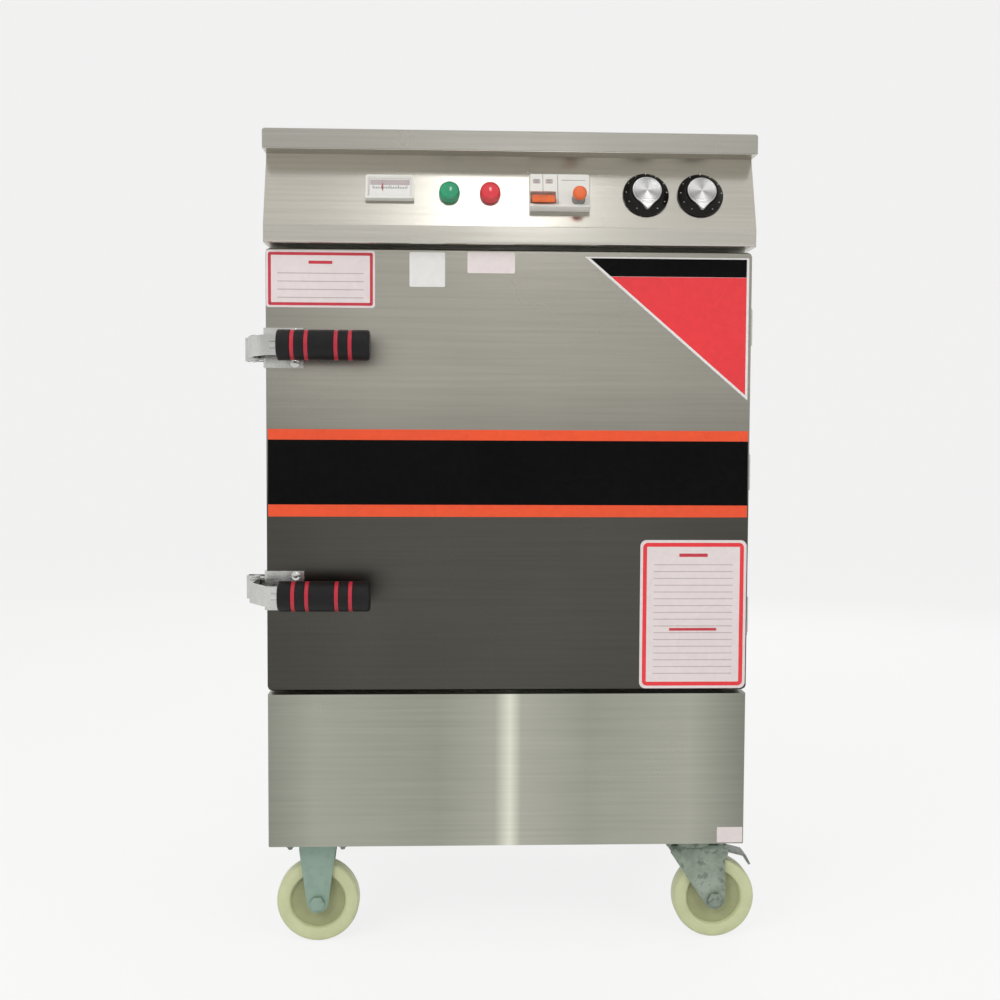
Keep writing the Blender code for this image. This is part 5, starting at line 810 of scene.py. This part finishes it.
def fit_instruments():
    """What shows on the breaker and the thermometer: pole seams, windows, a lower lip, and
    the scale card with its ticks and needle under a rim."""
    proud, poles = BREAKER_PROUD, (-0.0330, -0.0150)
    space = shifted(FACE, BREAKER_X, ROW_UP)

    def strip(width, height, centre, low, high, radius=0.0004):
        return thin_plate(rectangle(width, height, radius, centre, 2), low, high, 0.00008)

    windows = [strip(0.0105, 0.0072, (place, 0.0145), proud, proud + 0.0003, 0.001) for place in poles]
    piece("breaker_windows", placed(gathered(*windows), space), film_grey, "cabinet")
    marks = [
        strip(0.0060, 0.0011, (place, 0.0145 + step), proud + 0.0003, proud + 0.0005, 0.0003)
        for place in poles
        for step in (-0.0016, 0.0016)
    ]
    piece("breaker_window_rules", placed(gathered(*marks), space), grey_plastic, "cabinet")
    seams = [
        strip(0.0007, 0.0330, (-0.0240, 0.0095), proud, proud + 0.00025, 0.0002),
        strip(0.0007, 0.0500, (-0.0030, 0.0), proud, proud + 0.00025, 0.0002),
        strip(0.0340, 0.0007, (0.0195, 0.0165), proud, proud + 0.00025, 0.0002),
    ]
    piece("breaker_seams", placed(gathered(*seams), space), grey_plastic, "cabinet")
    outline = rectangle(0.0860, 0.0040, 0.0012, (0, -0.0248))
    lip = stacked(outline, [(0, 0.0119), (0, 0.0142), (0.0008, 0.0150)])
    piece("breaker_lip", placed(lip, space), white_plastic, "cabinet")

    space = shifted(FACE, THERMOMETER_X, THERMOMETER_UP)
    floor = 0.0060 - 0.0025
    card = thin_plate(rectangle(0.0585, 0.0275, 0.0010), floor, floor + 0.0003)
    piece("thermometer_card", placed(card, space), film_white, "cabinet")
    # Painted shade: a grey band across the top of the scale card where the rim shades it.
    painted_shade = strip(0.0560, 0.0085, (0, 0.0085), floor + 0.0003, floor + 0.0005, 0.001)
    piece("thermometer_painted_shade", placed(painted_shade, space), film_grey, "cabinet")
    ticks = []
    for step in range(21):
        long = 0.0048 if step % 5 == 0 else 0.0028
        centre = (-0.0240 + 0.0024 * step, -0.0015 + long / 2)
        ticks.append(strip(0.0008, long, centre, floor + 0.0003, floor + 0.00055, 0.0002))
    needle = strip(0.0011, 0.0115, (-0.0105, 0.0010), floor + 0.0010, floor + 0.0014, 0.0004)
    piece("thermometer_ticks", placed(gathered(*ticks), space), black_plastic, "cabinet")
    piece("thermometer_needle", placed(needle, space), red_rubber, "cabinet")
    rim = ring_plate(0.0690, 0.0380, 0.0030, 0.0030, 0.0060, 0.0068)
    piece("thermometer_rim", placed(rim, space), white_plastic, "cabinet")
    outline = rectangle(0.0690, 0.0034, 0.0010, (0, -0.0172))
    lip = stacked(outline, [(0, 0.0059), (0, 0.0080), (0.0008, 0.0086)])
    piece("thermometer_lip", placed(lip, space), white_plastic, "cabinet")


def pipe(path, normal, radius, bore, steps=48):
    """An open pipe along a path in one plane: circles of the outer radius out along it, and circles of the
    bore's radius back. Each circle stands on the plane's normal N and on T x N, T being the path's
    direction there."""
    normal = np.asarray(normal, float)
    direction = np.gradient(path, axis=0)
    direction /= np.linalg.norm(direction, axis=1, keepdims=True)
    arm = np.cross(direction, normal)
    angle = 2 * np.pi * np.arange(steps) / steps
    circle = np.cos(angle)[None, :, None] * normal + np.sin(angle)[None, :, None] * arm[:, None]
    outer, inner = path[:, None] + radius * circle, path[:, None] + bore * circle
    rows = np.concatenate([outer, inner[::-1]])
    return rows.reshape(-1, 3), grid_faces(len(rows), steps, closed=True).tolist()


def fit_rear():
    """Behind the cabinet: the bent vent pipe with its screwed flange, and the cable gland."""
    low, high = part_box("steam_vent")
    x, z, radius, bore = 0.2033, 0.933, 0.0160, 0.0145
    turn_y, top = high.y - radius, high.z
    path = eased([(x, BACK_Y - 0.030, z), (x, turn_y, z), (x, turn_y, top)], 0.026, 16)
    first = np.linspace(path[0], path[1], 4)[:-1]
    last = np.linspace(path[-2], path[-1], 4)[1:]
    path = np.vstack([first, path[1:-1], last])
    tube = pipe(path, (1, 0, 0), radius, bore)
    flange_front, screw_circle = 0.0033, 0.023
    flange = [(bore, SEAT_GAP), (0.030, SEAT_GAP), (0.030, 0.0026)]
    flange += [(0.0292, flange_front), (bore, flange_front)]
    behind = axes((x, BACK_Y, z), (-1, 0, 0), (0, 0, 1))
    screws = []
    for angle in np.pi / 4 + np.pi / 2 * np.arange(4):
        across, up = screw_circle * math.cos(angle), screw_circle * math.sin(angle)
        screws.append(placed(slotted_head(0.0032, 0.0018), shifted(behind, across, up, flange_front)))
    shape = gathered(tube, placed(turned(flange, 72, closed=True), behind))
    piece("vent_pipe", shape, fitting, "cabinet", ["steam_vent"])
    piece("vent_screws", gathered(*screws), bolt_zinc, "cabinet")

    low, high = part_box("cable_gland")
    centre = ((low.x + high.x) / 2, BACK_Y, (low.z + high.z) / 2)
    out = axes(centre, (-1, 0, 0), (0, 0, 1))
    reach = high.y - BACK_Y
    wall, bore = 0.0105, 0.0052
    dome = [(bore, 0.0100), (wall, 0.0100), (wall, reach - 0.006)]
    dome += [(0.0085, reach - 0.0015), (0.0066, reach), (bore, reach)]
    dome = eased(dome, [0, 0.0006, 0.003, 0.002, 0.0005, 0.0004], 3, closed=True)
    nut = raised(hexagon(0.0146, 0.0096), 0.0004)
    back = turned([(0, low.y - BACK_Y), (0.0088, low.y - BACK_Y), (0.0088, 0.0004), (0, 0.0004)], 40)
    shape = placed(gathered(nut, turned(dome, 48, closed=True), back), out)
    piece("gland_body", shape, black_plastic, "cabinet", ["cable_gland"])


def dome_head(radius, height, steps=24):
    """A domed fastener head: a cap of a sphere on a short cylinder wall."""
    arc = np.linspace(0, np.pi / 2, 6)
    curve = np.stack([radius * np.cos(arc), height * 0.35 + height * 0.65 * np.sin(arc)], axis=-1)
    curve[-1, 0] = 0
    return turned(np.vstack([[(0, -0.0003), (radius, -0.0003)], curve]), steps)


def slotted_head(radius, height, steps=32):
    """A domed head with a cross cut: the height of the grid falls inside two crossed bars."""
    points, faces = dome_head(radius, height, steps)
    bar, reach = radius * 0.16, radius * 0.62
    x, y = points[:, 0], points[:, 1]
    cross = ((np.abs(x) < bar) & (np.abs(y) < reach)) | ((np.abs(y) < bar) & (np.abs(x) < reach))
    points = points.copy()
    points[cross & (points[:, 2] > 0), 2] -= height * 0.4
    return points, faces


def hexagon(radius, height):
    """A hexagon head with a turned chamfer: a six-sided prism whose top edge is drawn in."""
    angle = np.pi / 3 * np.arange(6)
    outline = radius * np.stack([np.cos(angle), np.sin(angle)], axis=-1)
    return stacked(outline, [(0, -0.0002), (0, height - radius * 0.12), (radius * 0.14, height)])


def caster_bolt():
    """A caster's bolt: a washer, a hexagon head on it, and the chamfered end of the thread."""
    washer_top, head_top = 0.0013, 0.0058
    washer = [(0, -0.0002), (0.0085, -0.0002), (0.0085, 0.0010), (0.0080, washer_top), (0, washer_top)]
    thread = [(0, -0.001), (0.0035, -0.001), (0.0035, 0.0028), (0.0028, 0.0036), (0, 0.0036)]
    head = raised(hexagon(0.0068, 0.0048), washer_top)
    return gathered(turned(washer, 32), head, raised(turned(thread, 20), head_top))


def fit_fasteners():
    """Hinge screws, caster bolts with washers, lid rivets, base screws and the face's one small screw."""
    knuckle, screw_spread = 0.0095, 0.0165
    for name in ("lower", "middle", "upper"):
        for leaf, body in (("body", "cabinet"), ("door", "door")):
            low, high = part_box(f"{name}_hinge_{leaf}_leaf")
            y = high.y - knuckle if leaf == "body" else low.y + knuckle
            middle = (low.z + high.z) / 2
            space = axes((HINGE_OUTER_X, y, middle), (0, 1, 0), (0, 0, 1))
            head = slotted_head(0.0042, 0.0013)
            heads = [placed(head, shifted(space, 0, side * screw_spread)) for side in (-1, 1)]
            piece(f"{name}_hinge_{leaf}_screws", gathered(*heads), fitting, body)
    plate_low_z, bolt_across, bolt_along = 0.156, 0.039, 0.031
    for kind, node_end in (("rigid", "fork"), ("swivel", "plate")):
        for end in ("front", "rear"):
            low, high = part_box(f"{end}_{kind}_caster_{node_end}")
            centre = np.array(((low.x + high.x) / 2, (low.y + high.y) / 2, plate_low_z))
            bolts = []
            for a in (-1, 1):
                for b in (-1, 1):
                    place = centre + np.array((a * bolt_across, b * bolt_along, 0))
                    bolts.append(placed(caster_bolt(), axes(place, (1, 0, 0), (0, -1, 0))))
            piece(f"{end}_{kind}_caster_bolts", gathered(*bolts), bolt_zinc, "cabinet")
    rivets, lid_sheet, rivet_z = [], 0.0015, 1.1775
    for side, x in ((-1, BODY_LEFT_X - lid_sheet), (1, BODY_RIGHT_X + lid_sheet)):
        for y in (-0.24, -0.02, 0.20):
            space = axes((x, y, rivet_z), (0, -side, 0), (0, 0, 1))
            rivets.append(placed(dome_head(0.0032, 0.0014), space))
    piece("lid_rivets", gathered(*rivets), fitting, "cabinet")
    screws, base_screw_y = [], -0.2610
    for side, x in ((-1, BODY_LEFT_X), (1, BODY_RIGHT_X)):
        for z in (0.192, 0.272, 0.352):
            space = axes((x, base_screw_y, z), (0, -side, 0), (0, 0, 1))
            screws.append(placed(slotted_head(0.0040, 0.0016), space))
    piece("base_screws", gathered(*screws), fitting, "cabinet")
    tiny = placed(slotted_head(0.0026, 0.0012), shifted(FACE, 0.0250, 0.0876))
    piece("face_screw", tiny, fitting, "cabinet")


def aim_camera():
    """The camera that sees the cabinet as photographed: a 46 mm lens on a 36 mm sensor, pitched a little
    down and turned a little right, with a quarter of a degree of roll."""
    data = bpy.data.cameras.new("camera")
    data.sensor_width = SENSOR_WIDTH
    data.sensor_fit = "HORIZONTAL"
    data.lens = SENSOR_WIDTH * FOCAL_PIXELS / PICTURE_PIXELS
    camera = bpy.data.objects.new("camera", data)
    pitch, yaw, roll = math.radians(PITCH_DOWN), math.radians(YAW_RIGHT), math.radians(ROLL)
    turn = Matrix.Rotation(-yaw, 4, "Z") @ Matrix.Rotation(math.pi / 2 - pitch, 4, "X")
    camera.matrix_world = Matrix.Translation(CAMERA_PLACE) @ (turn @ Matrix.Rotation(roll, 4, "Z"))
    bpy.context.scene.collection.objects.link(camera)
    bpy.context.scene.camera = camera


def seen_directly(tree):
    """1 for camera, glossy and transmission rays, otherwise 0."""
    path = tree.nodes.new("ShaderNodeLightPath")
    total = path.outputs["Is Camera Ray"]
    for output in ("Is Glossy Ray", "Is Transmission Ray"):
        add = tree.nodes.new("ShaderNodeMath")
        add.operation = "MAXIMUM"
        tree.links.new(total, add.inputs[0])
        tree.links.new(path.outputs[output], add.inputs[1])
        total = add.outputs[0]
    return total


def set_stage():
    """A pale paper bowl: a flat floor whose rim sweeps up all round, turned about the vertical."""
    profile = eased([(0.0, 0), (8.5, 0), (10.0, 7.0)], [0, 2.6, 0], 24)
    profile = np.vstack([[(0.0, 0), (3.0, 0)], profile[1:]])
    points, faces = turned(profile, 96)
    mesh = bpy.data.meshes.new("paper_bowl")
    mesh.from_pydata(points.tolist(), [], [face[::-1] for face in faces])
    mesh.shade_smooth()
    bowl = bpy.data.objects.new("paper_bowl", mesh)
    bpy.context.scene.collection.objects.link(bowl)
    material = bpy.data.materials.new("pale_paper")
    material.use_nodes = True
    tree = material.node_tree
    shader = tree.nodes["Principled BSDF"]
    shader.inputs["Base Color"].default_value = (0.86, 0.86, 0.85, 1)
    shader.inputs["Roughness"].default_value = 0.9
    glow = tree.nodes.new("ShaderNodeEmission")
    glow.inputs["Color"].default_value = (1, 1, 1, 1)
    scale = tree.nodes.new("ShaderNodeMath")
    scale.operation = "MULTIPLY"
    scale.inputs[1].default_value = PAPER_GLOW
    tree.links.new(seen_directly(tree), scale.inputs[0])
    mix = tree.nodes.new("ShaderNodeMixShader")
    tree.links.new(scale.outputs[0], mix.inputs[0])
    tree.links.new(shader.outputs[0], mix.inputs[1])
    tree.links.new(glow.outputs[0], mix.inputs[2])
    tree.links.new(mix.outputs[0], tree.nodes["Material Output"].inputs["Surface"])
    mesh.materials.append(material)


def light_stage():
    """A soft key from the upper left, a weaker fill from the right, one behind and a wide one overhead, which
    the metal doesn't reflect, two small boxes whose reflections lie on the head, and an even pale world."""
    for name, place, size, power, target in (
        ("key", (-1.9, -2.6, 2.1), (1.8, 1.6), 44, (0, 0, 0.7)),
        ("fill", (2.2, -2.4, 1.3), (1.6, 1.6), 18, (0, 0, 0.6)),
        ("back", (1.2, 3.0, 2.0), (2.2, 1.8), 22, (0, 0, 0.6)),
        ("top", (0.0, -0.3, 3.6), (3.4, 3.0), 22, (0, 0, 0.9)),
        ("head_box", (0.045, -1.72, 2.76), (0.22, 0.50), 1.9, (-0.01, -0.33, 1.11)),
        ("band_box", (0.17, -2.25, 1.46), (0.24, 0.16), 0.5, (0.05, -0.317, 1.045)),
    ):
        data = bpy.data.lights.new(name, "AREA")
        data.shape = "RECTANGLE"
        data.size, data.size_y = size
        data.energy = power
        lamp = bpy.data.objects.new(name, data)
        lamp.location = place
        lamp.rotation_euler = (Vector(target) - Vector(place)).to_track_quat("-Z", "Y").to_euler()
        lamp.visible_glossy = name.endswith("box")
        bpy.context.scene.collection.objects.link(lamp)
    world = bpy.data.worlds.new("world")
    world.use_nodes = True
    bpy.context.scene.world = world
    tree = world.node_tree
    back = tree.nodes["Background"]
    back.inputs["Color"].default_value = (1.0, 0.99, 0.97, 1)
    strength = tree.nodes.new("ShaderNodeMapRange")
    strength.inputs["To Min"].default_value = WORLD_LIGHT
    strength.inputs["To Max"].default_value = WORLD_SEEN
    tree.links.new(seen_directly(tree), strength.inputs["Value"])
    tree.links.new(strength.outputs["Result"], back.inputs["Strength"])
    bpy.context.scene.view_settings.view_transform = "Standard"


finish_frame()
fit_grips()
fit_wheels()
fit_knobs()
fit_lamps()
fit_button()
fit_toggle()
fit_labels()
fit_instruments()
fit_rear()
fit_fasteners()
aim_camera()
set_stage()
light_stage()
